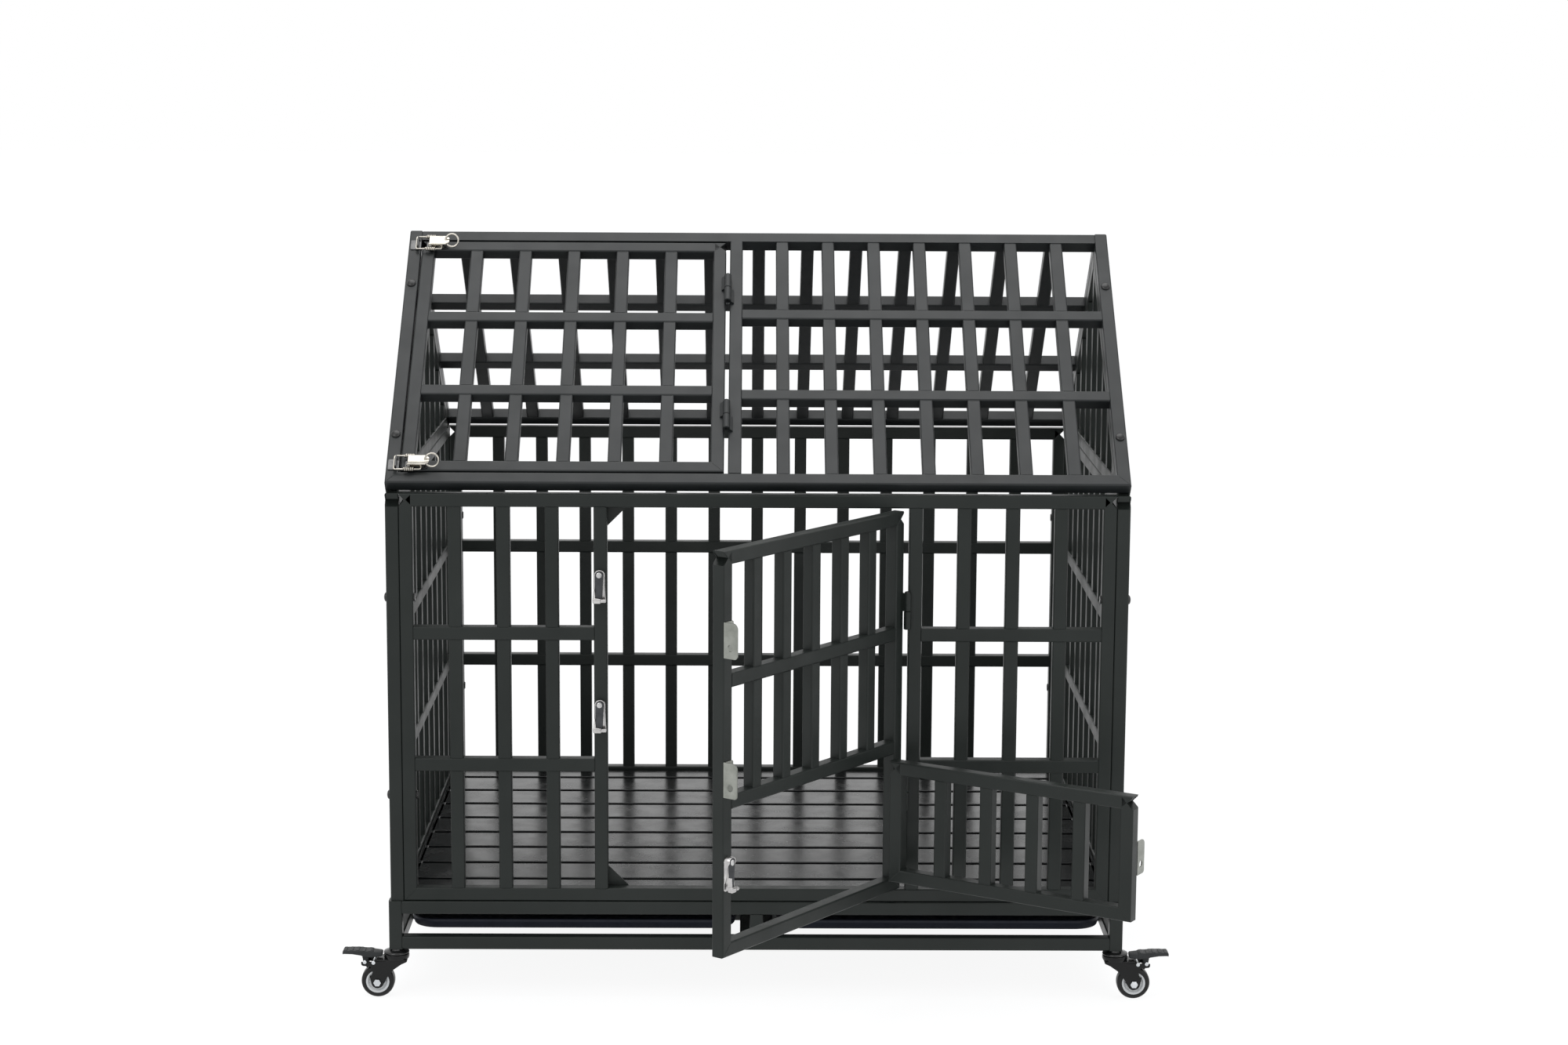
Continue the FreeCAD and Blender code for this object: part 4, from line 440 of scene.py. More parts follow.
def mixed(name, dark, light, gloss, tone, sheen, grain, peel, deep=0.0004, specular=0.5, metallic=0.0):
    """Mix a finish: noise gives its tone between two colours, its gloss between two greys, and its bumps."""
    material, tree, shader = new_finish(name)
    shader.inputs["Metallic"].default_value = metallic
    shader.inputs["Specular IOR Level"].default_value = specular
    for noise, stops, channel in ((tone, (dark, light), "Base Color"), (sheen, gloss, "Roughness")):
        ramp = add_ramp(tree, add_noise(tree, *noise), [(0.3, stops[0]), (0.7, stops[1])])
        tree.links.new(ramp.outputs["Color"], shader.inputs[channel])
    add_bump(tree, shader, add_noise(tree, *grain), peel, deep)
    return material


def powder_coat(name, dark, light, gloss=(0.34, 0.46), peel=0.10, specular=0.5):
    """Baked paint: slow drifts of tone, gloss that varies, and fine orange peel."""
    return mixed(name, dark, light, gloss, (7, 3), (24, 5), (900, 2), peel, specular=specular)


def plated(name, dark, light, gloss=(0.16, 0.32), stretch=(1, 1, 1), grain=260, peel=0.05):
    """Plated steel: a metal whose tone and gloss drift, with a fine grain."""
    return mixed(name, dark, light, gloss, (60, 5), (grain, 4, 0.55, stretch), (grain, 3, 0.55, stretch), peel,
                 0.0003, metallic=1.0)


def moulded(name, dark, light, gloss=(0.4, 0.55), grain=700, peel=0.15, specular=0.5):
    """Moulded plastic or rubber: nearly even tone under a fine mould grain."""
    return mixed(name, dark, light, gloss, (35, 4), (90, 4), (grain, 3), peel, specular=specular)


FINISHES = {
    "frame_paint": powder_coat("charcoal powder coat", (0.010, 0.0135, 0.0115), (0.018, 0.022, 0.0195),
                               specular=0.3),
    "roof_paint": powder_coat("roof powder coat", (0.012, 0.014, 0.0142), (0.021, 0.0235, 0.024), specular=0.38),
    "floor_paint": powder_coat("floor powder coat", (0.008, 0.009, 0.009), (0.014, 0.015, 0.015), (0.18, 0.3)),
    "black_fastener": powder_coat("blackened fastener", 0.006, 0.013, (0.2, 0.34)),
    "latch_steel": plated("zinc latch steel", (0.42, 0.41, 0.41), (0.62, 0.61, 0.6), (0.14, 0.26)),
    # The lever blade's dark base colour is painted reflection: it stands in for the dark surroundings that the
    # steel mirrors.
    "blade_painted_reflection": plated("latch blade with painted dark reflection", (0.045, 0.047, 0.05), (0.085, 0.088, 0.093), (0.25, 0.4)),
    "rivet_steel": plated("bright rivet steel", 0.46, 0.62),
    "strike_steel": plated("stainless strike steel", (0.24, 0.25, 0.225), (0.34, 0.35, 0.32), (0.26, 0.42),
                           (1, 1, 14)),
    "toggle_base_steel": plated("dark toggle base", 0.07, 0.15),
    "toggle_nickel": plated("bright nickel", (0.40, 0.38, 0.34), (0.62, 0.59, 0.53), (0.1, 0.24)),
    "tray_plastic": moulded("blue black tray plastic", (0.008, 0.01, 0.018), (0.013, 0.016, 0.027), (0.42, 0.6),
                            specular=0.3),
    "race_steel": powder_coat("glossy black race", 0.006, 0.01, (0.12, 0.2)),
    "fork_paint": powder_coat("glossy black fork", 0.005, 0.01, (0.12, 0.22), 0.05,
                              specular=0.25),
    "axle_zinc": plated("zinc axle bolt", (0.5, 0.52, 0.54), (0.72, 0.74, 0.76)),
    "pedal_plastic": moulded("grey black pedal plastic", (0.02, 0.022, 0.023), (0.032, 0.034, 0.035), (0.4, 0.55),
                             specular=0.35),
    "tyre_rubber": moulded("black tyre rubber", 0.007, 0.012, (0.3, 0.45),
                           specular=0.3),
    "hub_plastic": moulded("white hub plastic", 0.8, (0.88, 0.88, 0.87), (0.35, 0.5)),
}


def make_piece(name, body, slot, parts, place=None, replaced=(), finish=None):
    """Make one mesh from parts in millimetres, give it its finish, and let it ride on a body."""
    if place is not None:
        parts = [placed(part, place) for part in parts]
    points, corners, sizes, normals = joined(parts)
    mesh = bpy.data.meshes.new(name)
    mesh.vertices.add(len(points))
    mesh.vertices.foreach_set("co", (points * 0.001).astype(np.float32).ravel())
    mesh.loops.add(len(corners))
    mesh.loops.foreach_set("vertex_index", corners.astype(np.int32))
    mesh.polygons.add(len(sizes))
    starts = np.concatenate([[0], np.cumsum(sizes)[:-1]]).astype(np.int32)
    mesh.polygons.foreach_set("loop_start", starts)
    mesh.update(calc_edges=True)
    mesh.validate()
    mesh.polygons.foreach_set("use_smooth", np.ones(len(mesh.polygons), bool))
    if len(mesh.loops) == len(normals):
        mesh.normals_split_custom_set(normals.tolist())
    piece = bpy.data.objects.new(name, mesh)
    bpy.context.scene.collection.objects.link(piece)
    mesh.materials.append(FINISHES[finish or slot])
    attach(piece, body)
    if replaced:
        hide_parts(*replaced)


# Places of the crate's panels.
FRONT_PLACE = seat(0, FRONT, BASE_TOP)
BACK_PLACE = seat(0, BACK, BASE_TOP)
ROOF_PLACE = seat(0, FRONT, PANEL_TOP + EAVE_LIFT, (-1, 0, 0), LEAN)
ROOF_BACK_PLACE = seat(0, BACK, PANEL_TOP + EAVE_LIFT, (1, 0, 0), LEAN)
ROW = (PANEL_TALL - TUBE) / 3
HALF = LENGTH / 2 - TUBE
PIN_X = OPENING / 2 - GAP / 2
MAIN_PIN = (PIN_X, FRONT - PROUD)
RAIL_MARKS = (TUBE, ROW, ROW + TUBE, 2 * ROW, 2 * ROW + TUBE, 3 * ROW)


def from_door(along_door, out_of_door):
    """Place a point of the open main door: pin + R(angle) (along, out)."""
    a = math.radians(DOOR_ANGLE)
    return (MAIN_PIN[0] + along_door * math.cos(a) - out_of_door * math.sin(a),
            MAIN_PIN[1] + along_door * math.sin(a) + out_of_door * math.cos(a))


def dress_front_panel():
    """Two barred bays beside the doorway, gussets behind the doorway's left corners, and the hinge knuckles."""
    jamb = OPENING / 2 + TUBE
    parts = frame_of_tube(-HALF, HALF, 0, PANEL_TALL, 0, TUBE)
    for side in (-1, 1):
        x0, x1 = sorted((side * (OPENING / 2), side * jamb))
        parts.append(post(TUBE, PANEL_TALL - TUBE, x0, x1, 0, TUBE))
        inner, outer = sorted((side * jamb, side * (HALF - TUBE)))
        parts += barred_field(inner, outer, (ROW, 2 * ROW), 0, TUBE, seed=side + 2)
        first, last = sorted((side * (HALF - TUBE / 2), side * (OPENING / 2 + TUBE / 2)))
        parts += bars(first, last, 3, TUBE / 2, PANEL_TALL - TUBE / 2, 0, TUBE)
        parts += foot_beads(first, last, 3, RAIL_MARKS, 0, TUBE)
        for z in (TUBE, PANEL_TALL - TUBE):
            parts.append(bead((x0 + 2, 0.4, z), (x1 - 2, 0.4, z), 1.0, side + 3))
    corner = -OPENING / 2
    top = PANEL_TALL - TUBE
    for outline in ([(corner - 10, top - GUSSET), (corner, top - GUSSET), (corner + GUSSET, top),
                     (corner + GUSSET, top + 10), (corner - 10, top + 10)],
                    [(corner - 10, 10), (corner + GUSSET, 10), (corner + GUSSET, TUBE), (corner, TUBE + GUSSET),
                     (corner - 10, TUBE + GUSSET)]):
        parts.append(outward(prism(outline, -(TUBE + GUSSET_SHEET), -TUBE + 0.2)))
    for top in (PANEL_TALL - HINGE_DROP, HINGE_DROP + KNUCKLE_PAIR):
        parts += hinge_leaf(PIN_X, -PROUD, top - KNUCKLE_PAIR, top - KNUCKLE - KNUCKLE_GAP, 1, TUBE / 2)
    make_piece("front_panel_tubes", "cabin", "frame_paint", parts, FRONT_PLACE, ["front_panel"])


def dress_back_panel():
    """One field of thirteen bars between three rows of rail."""
    parts = barred_frame(-HALF, HALF, 0, PANEL_TALL, -TUBE, 0, 13, (ROW, 2 * ROW), RAIL_MARKS, (4, 5))
    make_piece("back_panel_tubes", "cabin", "frame_paint", parts, BACK_PLACE, ["back_panel"])


def wall_place(side, z):
    """Place of a side wall: own x runs along the crate, turned a quarter so that own y points into the crate."""
    return seat(side * LENGTH / 2, CENTRE, z, (0, 0, 1), 90 * side)


def dress_side_panels():
    """Side walls as deep as the crate, each with nine bars."""
    half = DEPTH / 2
    for name, side in (("left", -1), ("right", 1)):
        parts = barred_frame(-half, half, 0, PANEL_TALL, 0, TUBE, 9, (ROW, 2 * ROW), RAIL_MARKS,
                             (side + 6, side + 8))
        make_piece(name + "_panel_tubes", "cabin", "frame_paint", parts, wall_place(side, BASE_TOP),
                   [name + "_panel"])


def dress_gables():
    """Triangles of tube under the roof's slopes, filled with upright bars."""
    slope = math.atan(PITCH)
    drop = TUBE / math.cos(slope)
    apex = EAVE_LIFT + ROOF_RISE - drop - 0.2
    foot = apex / PITCH
    for name, side in (("left", -1), ("right", 1)):
        # The foot rail's ends follow the slope. A sloping rail is cut level at its foot and upright at its apex.
        level = prism(box_outline(0, 0, TUBE, TUBE, ROUND), -foot, foot, (0, 1 / PITCH), (0, -1 / PITCH))
        parts = [along_axes(level, *ALONG_X)]
        for way in (-1, 1):
            start = min(way, 0) * TUBE
            tilted = prism(box_outline(start, 0, start + TUBE, TUBE, ROUND), 0, foot / math.cos(slope),
                           (way * PITCH, 0), (-way / PITCH, 0))
            axes = ((-math.sin(slope), 0, -way * math.cos(slope)), (0, 1, 0),
                    (-way * math.cos(slope), 0, math.sin(slope)))
            parts.append(lifted(mirror_check(along_axes(tilted, *axes), *axes), way * foot, 0))
        stile = DEPTH / 2 - TUBE / 2
        step = 2 * stile / 10
        for k in range(9):
            x = -stile + step * (k + 1)
            top = apex - abs(x) * PITCH - drop + 6
            parts.append(post(TUBE / 2, max(top, TUBE), x - BAR_WIDE / 2, x + BAR_WIDE / 2, 1, TUBE - 1))
        make_piece(name + "_gable_tubes", "cabin", "frame_paint", parts, wall_place(side, PANEL_TOP),
                   [name + "_gable"])


def mirror_check(part, u, v, w):
    """Keep a part's faces outwards where its three directions make a left hand."""
    if np.dot(np.cross(u, v), w) > 0:
        return part
    points, corners, sizes, normals = part
    ends = np.cumsum(sizes)
    order = np.concatenate([np.arange(end - size, end)[::-1] for end, size in zip(ends, sizes)])
    return points, corners[order], sizes, normals[order]


def ridge_tube(x0, x1, way):
    """Top tube of a roof half: its upper side is cut along the upright plane through the ridge."""
    outline = [(0, SLOPE - TUBE), (TUBE, SLOPE - TUBE), (TUBE, SLOPE - TUBE * PITCH), (1.6, SLOPE - 1.6 * PITCH),
               (0.5, SLOPE - 1.0), (0, SLOPE - 2.2)]
    if way > 0:
        outline = [(-across, up) for across, up in outline[::-1]]
    return along_axes(prism(outline, x0, x1), *ALONG_X)


def roof_half(posts, y0, y1, way, first):
    """Stiles of a roof half, cut at the ridge, with its foot tube, its ridge tube and its rails from first on."""
    half = LENGTH / 2
    parts = [rail(-half, half, 0, TUBE, y0, y1, (1, 1))]
    for x0, mitre in ((-half, 1), (half - TUBE, -1)):
        parts.append(post(0, SLOPE - PITCH * TUBE / 2, x0, x0 + TUBE, y0, y1, (mitre, 0),
                          high_slope=(0.0, way * PITCH)))
    parts.append(ridge_tube(-half + TUBE, half - TUBE, way))
    for x in posts:
        parts.append(post(TUBE, SLOPE - TUBE, x - TUBE / 2, x + TUBE / 2, y0, y1))
    parts += barred_field(first, half - TUBE, ROOF_LEVELS, y0, y1, 0, 1)
    for x, turn in ((-half, 1), (half, -1)):
        inner = x + TUBE * turn
        for y in (y0 + 0.45, y1 - 0.45):
            parts.append(bead((x + 1.5 * turn, y, 1.5), (x + 18.5 * turn, y, 18.5), seed=turn + 2))
            parts.append(bead((inner, y, SLOPE - TUBE + 1), (inner, y, SLOPE - 2), seed=turn + 4))
    return parts


ROOF_ROW = (SLOPE - TUBE) / 3
ROOF_LEVELS = (ROOF_ROW, 2 * ROOF_ROW)
ROOF_PIN_X = -(ROOF_POST + TUBE / 2 + 3)
ROOF_LOW = TUBE + 2.5
ROOF_HIGH = SLOPE - TUBE - 2.5
ROOF_HINGES = (TUBE + ROOF_INSET, SLOPE - TUBE - ROOF_INSET - KNUCKLE_PAIR)


def roof_knuckle(x, y, low, high, side):
    """Roof hinge knuckle, with its tab over the gap beside the door."""
    middle, inner, edge = x + side * 2.75, x + side * 3, x + side * (3 + TUBE / 3)
    outline = [(middle, y + 4.4), (middle, y - 1), (edge, y + PROUD - 2), (edge, y + PROUD + 1),
               (inner, y + PROUD + 1), (inner, y + 4.4)]
    if side < 0:
        outline = outline[::-1]
    return [knuckle(x, y, low, high), prism(outline, low, high)]


def dress_roof():
    """Front half with its barred right part and its doorway, and the back half with thirteen bars."""
    half = LENGTH / 2
    parts = roof_half([-ROOF_POST], 0, TUBE, -1, -ROOF_POST + TUBE / 2)
    parts += bars(-ROOF_POST, half - TUBE / 2, 7, TUBE / 2, SLOPE - TUBE + 1, 0, TUBE)
    parts += foot_beads(-ROOF_POST, half - TUBE / 2, 7,
                        (TUBE, ROOF_ROW, ROOF_ROW + TUBE, 2 * ROOF_ROW, 2 * ROOF_ROW + TUBE, SLOPE - TUBE), 0, TUBE)
    for low in ROOF_HINGES:
        parts += roof_knuckle(ROOF_PIN_X, -PROUD, low, low + KNUCKLE, 1)
    make_piece("roof_front_tubes", "cabin", "roof_paint", parts, ROOF_PLACE, ["roof_front_frame"])
    parts = roof_half([], -TUBE, 0, 1, -half + TUBE)
    parts += bars(-half + TUBE / 2, half - TUBE / 2, 13, TUBE / 2, SLOPE - TUBE + 1, -TUBE, 0)
    make_piece("roof_back_tubes", "cabin", "roof_paint", parts, ROOF_BACK_PLACE, ["roof_back_panel"])


def dress_roof_door():
    """Roof door: a frame with two cross rails and five bars, hung on the roof's middle post."""
    far, near = -(LENGTH / 2 - TUBE - 1.5) - ROOF_PIN_X, -3.0
    row = (ROOF_HIGH - ROOF_LOW - TUBE) / 3
    levels = [ROOF_LOW + row, ROOF_LOW + 2 * row]
    marks = [ROOF_LOW + TUBE, ROOF_HIGH - TUBE] + [z + s for z in levels for s in (0, TUBE)]
    parts = barred_frame(far, near, ROOF_LOW, ROOF_HIGH, PROUD, PROUD + TUBE, 5, levels, marks, (3, 4))
    for foot in ROOF_HINGES:
        parts += roof_knuckle(0, 0, foot + KNUCKLE + KNUCKLE_GAP, foot + KNUCKLE_PAIR, -1)
    make_piece("roof_door_tubes", "roof_door", "roof_paint", parts, on_roof(ROOF_PIN_X, -PROUD, 0), ["roof_door"])


def roof_spot(x, inward, up_slope):
    """Place a point of the front slope: x, then eave + inward n + up s, with n and s the slope's two directions."""
    rise, run = ROOF_RISE / SLOPE, DEPTH / 2 / SLOPE
    return x, FRONT + inward * rise + up_slope * run, PANEL_TOP + EAVE_LIFT - inward * run + up_slope * rise


def on_roof(x, inward, up_slope):
    """Give the place at a point of the front slope, with z up the slope."""
    return seat(*roof_spot(x, inward, up_slope), (-1, 0, 0), LEAN)


DOOR_LONG = OPENING - 2 * GAP
DOOR_TALL = PANEL_TALL - 2 * TUBE - 2 * GAP
DOOR_FACE = PROUD - 0.5
SMALL_LONG = DOOR_LONG - 2 * TUBE - 2 * GAP
SMALL_OPENING = DOOR_TALL - 2 * TUBE - 2 * DOOR_ROW
SMALL_TALL = SMALL_OPENING - 2 * GAP
DOOR_FOOT = BASE_TOP + TUBE + GAP
SMALL_FOOT = DOOR_FOOT + TUBE + GAP
SMALL_PIN = (-(GAP + TUBE), -0.5)
SMALL_HINGES = (SMALL_DROP, SMALL_TALL - SMALL_DROP - SMALL_PAIR)
MAIN_PLACE = seat(*MAIN_PIN, DOOR_FOOT, (0, 0, 1), DOOR_ANGLE)
SMALL_PLACE = seat(*from_door(*SMALL_PIN), SMALL_FOOT, (0, 0, 1), DOOR_ANGLE + SMALL_ANGLE)


def dress_main_door():
    """Main door: two barred bays over the opening of the small door, with both doors' knuckles."""
    base = 2 * TUBE + SMALL_OPENING
    upper = base + DOOR_ROW
    parts = barred_frame(-(GAP / 2 + DOOR_LONG), -GAP / 2, 0, DOOR_TALL, DOOR_FACE, DOOR_FACE + TUBE, 5,
                         (base - TUBE, upper - TUBE), (base, upper - TUBE, upper, DOOR_TALL - TUBE), (1, 2),
                         base - TUBE)
    for top in (PANEL_TALL - HINGE_DROP, HINGE_DROP + KNUCKLE_PAIR):
        top -= TUBE + GAP
        parts += hinge_leaf(0, 0, top - KNUCKLE, top, -1, DOOR_FACE + TUBE / 2)
    for foot in SMALL_HINGES:
        foot += TUBE + GAP
        parts += hinge_leaf(*SMALL_PIN, foot, foot + SMALL_KNUCKLE, 1, DOOR_FACE + TUBE / 2)
    make_piece("main_door_tubes", "main_door", "frame_paint", parts, MAIN_PLACE, ["main_door"])


def dress_small_door():
    """Small door: a low frame with four bars."""
    parts = barred_frame(-(GAP / 2 + SMALL_LONG), -GAP / 2, 0, SMALL_TALL, PROUD, PROUD + TUBE, 4,
                         (), (TUBE, SMALL_TALL - TUBE), (5, 0))
    for foot in SMALL_HINGES:
        foot += SMALL_KNUCKLE + KNUCKLE_GAP
        parts += hinge_leaf(0, 0, foot, foot + SMALL_KNUCKLE, -1, PROUD + TUBE / 2)
    make_piece("small_door_tubes", "small_door", "frame_paint", parts, SMALL_PLACE, ["small_door"])


def dress_base():
    """Base: two rings of tube on corner legs and middle posts, with the floor's bearers and the tray runner."""
    half_x, half_y = LENGTH / 2 + OVERHANG, DEPTH / 2 + OVERHANG
    inner_x, inner_y = half_x - TUBE, half_y - TUBE
    low, high = CASTER_TALL, BASE_TOP - TUBE
    ends = ((-half_x, -inner_x), (inner_x, half_x))
    sides = ((-half_y, -inner_y), (inner_y, half_y))
    parts = []
    for z in (low, high):
        for y0, y1 in sides:
            parts += barred_field(-inner_x, inner_x, (z,), y0, y1, 3, 0)
        for x0, x1 in ends:
            parts.append(beam_y(-inner_y, inner_y, x0, x1, z, z + TUBE))
    for x0, x1 in ends:
        for y0, y1 in sides:
            parts.append(post(low, BASE_TOP, x0, x1, y0, y1))
    for y0, y1 in sides:
        parts.append(post(low + TUBE, high, -TUBE / 2, TUBE / 2, y0, y1))
        for z in (low + TUBE, high):
            parts.append(bead((-8, y0 + 0.4, z), (8, y0 + 0.4, z), 1.0, 2))
    for x in (0, -(half_x - 1.5 * TUBE), half_x - 1.5 * TUBE):
        parts.append(beam_y(-inner_y, inner_y, x - TUBE / 2, x + TUBE / 2, high, BASE_TOP))
    parts.append(beam_y(-inner_y, inner_y, -TRAY_RUNNER / 2, TRAY_RUNNER / 2, low, low + TUBE))
    for y in (-BEARER_ROW, 0, BEARER_ROW):
        parts.append(rail(-inner_x, inner_x, low, low + TUBE, y - TUBE / 2, y + TUBE / 2))
    make_piece("base_tubes", "cabin", "frame_paint", parts, seat(0, CENTRE, 0), ["base_frame"])


def beam_y(y0, y1, x0, x1, z0, z1):
    """Straight tube along y."""
    part = prism(box_outline(z0, x0, z1, x1, ROUND), y0, y1)
    return along_axes(part, *ALONG_Y)


def dress_floor():
    """Floor of wide slats: end strips, and slats with soft long edges between open slots."""
    place = seat(0, CENTRE, BASE_TOP)
    half_x = LENGTH / 2 - TUBE - FLOOR_GAP
    half_y = DEPTH / 2 - TUBE - GUSSET_SHEET - FLOOR_GAP
    thick, pitch, slot = 14.0, 90.0, 12.0
    edges = [-half_y]
    first = -pitch * 3.5
    for k in range(8):
        edges += [first + pitch * k - slot / 2, first + pitch * k + slot / 2]
    edges.append(half_y)
    parts = []
    for y0, y1 in zip(edges[0::2], edges[1::2]):
        part = prism(box_outline(y0, 0, y1, thick, 1.6), -half_x + 5, half_x - 5)
        parts.append(along_axes(part, *ALONG_X))
    for x0, x1 in ((-half_x, -half_x + 10), (half_x - 10, half_x)):
        parts.append(along_axes(prism(box_outline(0, x0, thick, x1, 1.6), -half_y, half_y), *ALONG_Y))
    make_piece("floor_slats", "cabin", "floor_paint", parts, place, ["floor_grate"])


# Shapes for the fittings.
def lofted(rings, crease=50.0):
    """Skin a row of closed outlines of equal counts: quads between neighbours and a flat face at each end.

    The normal is the edge along the outline crossed with the step along the row, shared over soft corners.
    """
    rings = np.asarray(rings, float)
    count, size = rings.shape[:2]
    after = np.roll(np.arange(size), -1)
    onward = np.gradient(rings, axis=0)
    face = np.cross(rings[:, after] - rings, onward + onward[:, after])
    face /= np.maximum(np.linalg.norm(face, axis=2, keepdims=True), 1e-9)
    shared = face + np.roll(face, 1, axis=1)
    shared /= np.maximum(np.linalg.norm(shared, axis=2, keepdims=True), 1e-9)
    soft = ((face * np.roll(face, 1, axis=1)).sum(axis=2) > math.cos(math.radians(crease)))[:, :, None]
    start = np.where(soft, shared, face)
    end = np.where(np.roll(soft, -1, axis=1), np.roll(shared, -1, axis=1), face)
    i, j = np.meshgrid(np.arange(count - 1), np.arange(size), indexing="ij")
    quads = np.stack([i * size + j, i * size + after[j], (i + 1) * size + after[j], (i + 1) * size + j], axis=-1)
    normals = np.stack([start[:-1], end[:-1], end[1:], start[1:]], axis=2)
    caps = []
    for ring, way in ((rings[0], -1), (rings[-1], 1)):
        area = np.cross(ring, ring[after]).sum(axis=0)
        caps.append(np.tile(way * area / max(np.linalg.norm(area), 1e-9), (size, 1)))
    return (rings.reshape(-1, 3),
            np.concatenate([quads.ravel(), np.arange(size)[::-1], (count - 1) * size + np.arange(size)]),
            np.concatenate([np.full((count - 1) * size, 4), [size, size]]),
            np.concatenate([normals.reshape(-1, 3), caps[0], caps[1]]))


def pulled_in(outline, inset):
    """Move an anticlockwise outline inwards: p - inset (n1 + n2) / (1 + n1 . n2), by its edges' normals n."""
    step = np.roll(outline, -1, axis=0) - outline
    normal = np.column_stack([step[:, 1], -step[:, 0]]) / np.linalg.norm(step, axis=1, keepdims=True)
    before = np.roll(normal, 1, axis=0)
    share = np.maximum(1 + (normal * before).sum(axis=1, keepdims=True), 0.35)
    return outline - inset * (normal + before) / share


def rounded(corners, radius=1.5, steps=4):
    """Round the corners of an outline by tangent arcs, drawn as conics of weight sin(half the corner's angle)."""
    corners = np.asarray(corners, float)
    radius = np.broadcast_to(radius, (len(corners),))
    found = []
    neighbours = np.roll(corners, 1, axis=0), corners, np.roll(corners, -1, axis=0)
    for before, corner, after, wanted in zip(*neighbours, radius):
        back, onward = before - corner, after - corner
        a, b = np.linalg.norm(back), np.linalg.norm(onward)
        back, onward = back / a, onward / b
        half = math.acos(float(np.clip(back.dot(onward), -1, 1))) / 2
        reach = min(wanted / math.tan(half), 0.45 * a, 0.45 * b)
        if wanted <= 0 or reach < 1e-3:
            found.append(corner[None])
            continue
        t = np.linspace(0, 1, steps + 1)[:, None]
        weight = math.sin(half)
        mix = (1 - t) ** 2 + 2 * weight * t * (1 - t) + t ** 2
        curve = ((1 - t) ** 2 * (corner + back * reach) + 2 * weight * t * (1 - t) * corner
                 + t ** 2 * (corner + onward * reach)) / mix
        found.append(curve)
    return np.concatenate(found)


def soft_plate(outline, low, high, soft=0.4):
    """Sheet cut to an outline, with its edges rounded: inset = soft (1 - sin a), height = soft (1 - cos a)."""
    outline = np.asarray(outline, float)
    angle = np.linspace(0, math.pi / 2, 4)
    levels = [(low + soft * (1 - math.cos(a)), soft * (1 - math.sin(a))) for a in angle]
    levels += [(high - soft * (1 - math.cos(a)), soft * (1 - math.sin(a))) for a in angle[::-1]]
    rings = []
    for height, inset in levels:
        flat = pulled_in(outline, inset) if inset > 1e-6 else outline
        rings.append(level_ring(flat, height))
    return lofted(rings)


def holed_plate(outline, centre, radius, low, high, steps=40):
    """Sheet with a round hole: outline and circle are met by the same rays from the hole's centre.

    A ray at angle a leaves the outline's edge p + s d where s = (p - c) x r / (r x d), with r = (cos a, sin a).
    """
    outline, centre = np.asarray(outline, float), np.asarray(centre, float)
    spokes = outline - centre
    evenly = np.linspace(-math.pi, math.pi, steps + 1)[:-1]
    angle = np.sort(np.concatenate([np.arctan2(spokes[:, 1], spokes[:, 0]), evenly]))
    angle = angle[np.concatenate([[True], np.diff(angle) > 1e-4])]
    ray = np.column_stack([np.cos(angle), np.sin(angle)])
    step = np.roll(spokes, -1, axis=0) - spokes
    cross = ray[:, None, 0] * step[None, :, 1] - ray[:, None, 1] * step[None, :, 0]
    cross = np.where(np.abs(cross) < 1e-9, 1e-9, cross)
    reach = (spokes[None, :, 0] * step[None, :, 1] - spokes[None, :, 1] * step[None, :, 0]) / cross
    share = (spokes[None, :, 0] * ray[:, None, 1] - spokes[None, :, 1] * ray[:, None, 0]) / cross
    met = np.where((share > -1e-6) & (share < 1 + 1e-6) & (reach > 0), reach, np.inf).min(axis=1)
    outer = centre + ray * met[:, None]
    inner = centre + ray * radius
    count = len(angle)
    points = np.concatenate([level_ring(flat, height) for height in (low, high) for flat in (outer, inner)])
    here = np.arange(count)
    after = np.roll(here, -1)
    a, b, c, d = 0, count, 2 * count, 3 * count
    quads = [np.column_stack([a + here, a + after, c + after, c + here]),
             np.column_stack([b + after, b + here, d + here, d + after]),
             np.column_stack([c + here, c + after, d + after, d + here]),
             np.column_stack([a + after, a + here, b + here, b + after])]
    start, end = edge_normals(outer)
    side = np.stack([start, end, end, start], axis=1)
    side = np.concatenate([side, np.zeros((count, 4, 1))], axis=2).reshape(-1, 3)
    bore = -np.stack([ray[after], ray, ray, ray[after]], axis=1)
    bore = np.concatenate([bore, np.zeros((count, 4, 1))], axis=2).reshape(-1, 3)
    flat_up, flat_down = np.tile([0.0, 0, 1], (4 * count, 1)), np.tile([0.0, 0, -1], (4 * count, 1))
    normals = np.concatenate([side, bore, flat_up, flat_down])
    return points, np.concatenate(quads).ravel(), np.full(4 * count, 4), normals


def flipped(profile):
    """Give a profile's other half: the same radii with the heights mirrored, in reverse order."""
    return [(radius, -height) for radius, height in profile[::-1]]


def dome(radius, low, high, steps=5, rim=0.35):
    """Profile of a round head: a short rim, then an ellipse to the pole, r = R cos a, h = low + rim + H sin a."""
    angle = np.linspace(0, math.pi / 2, steps + 1)
    rise = high - low - rim
    curve = [(radius * math.cos(a), low + rim + rise * math.sin(a)) for a in angle[:-1]]
    return [(0, low), (radius, low)] + curve + [(0, high)]


def anticlockwise(outline):
    """Turn an outline round if its signed area, half the sum of x y' - x' y, is below zero."""
    after = np.roll(outline, -1, axis=0)
    area = (outline[:, 0] * after[:, 1] - after[:, 0] * outline[:, 1]).sum()
    return outline if area > 0 else outline[::-1]


# Turning latches of the two front doors.
LATCH_DROPS = {"upper": 120.0, "lower": 316.0}
LATCH_REACH = 38.0
STRIKE_RISE = 2.3
HOLE_OUT = 12.0
JAMB_X = -(OPENING / 2) - LATCH_OFFSET


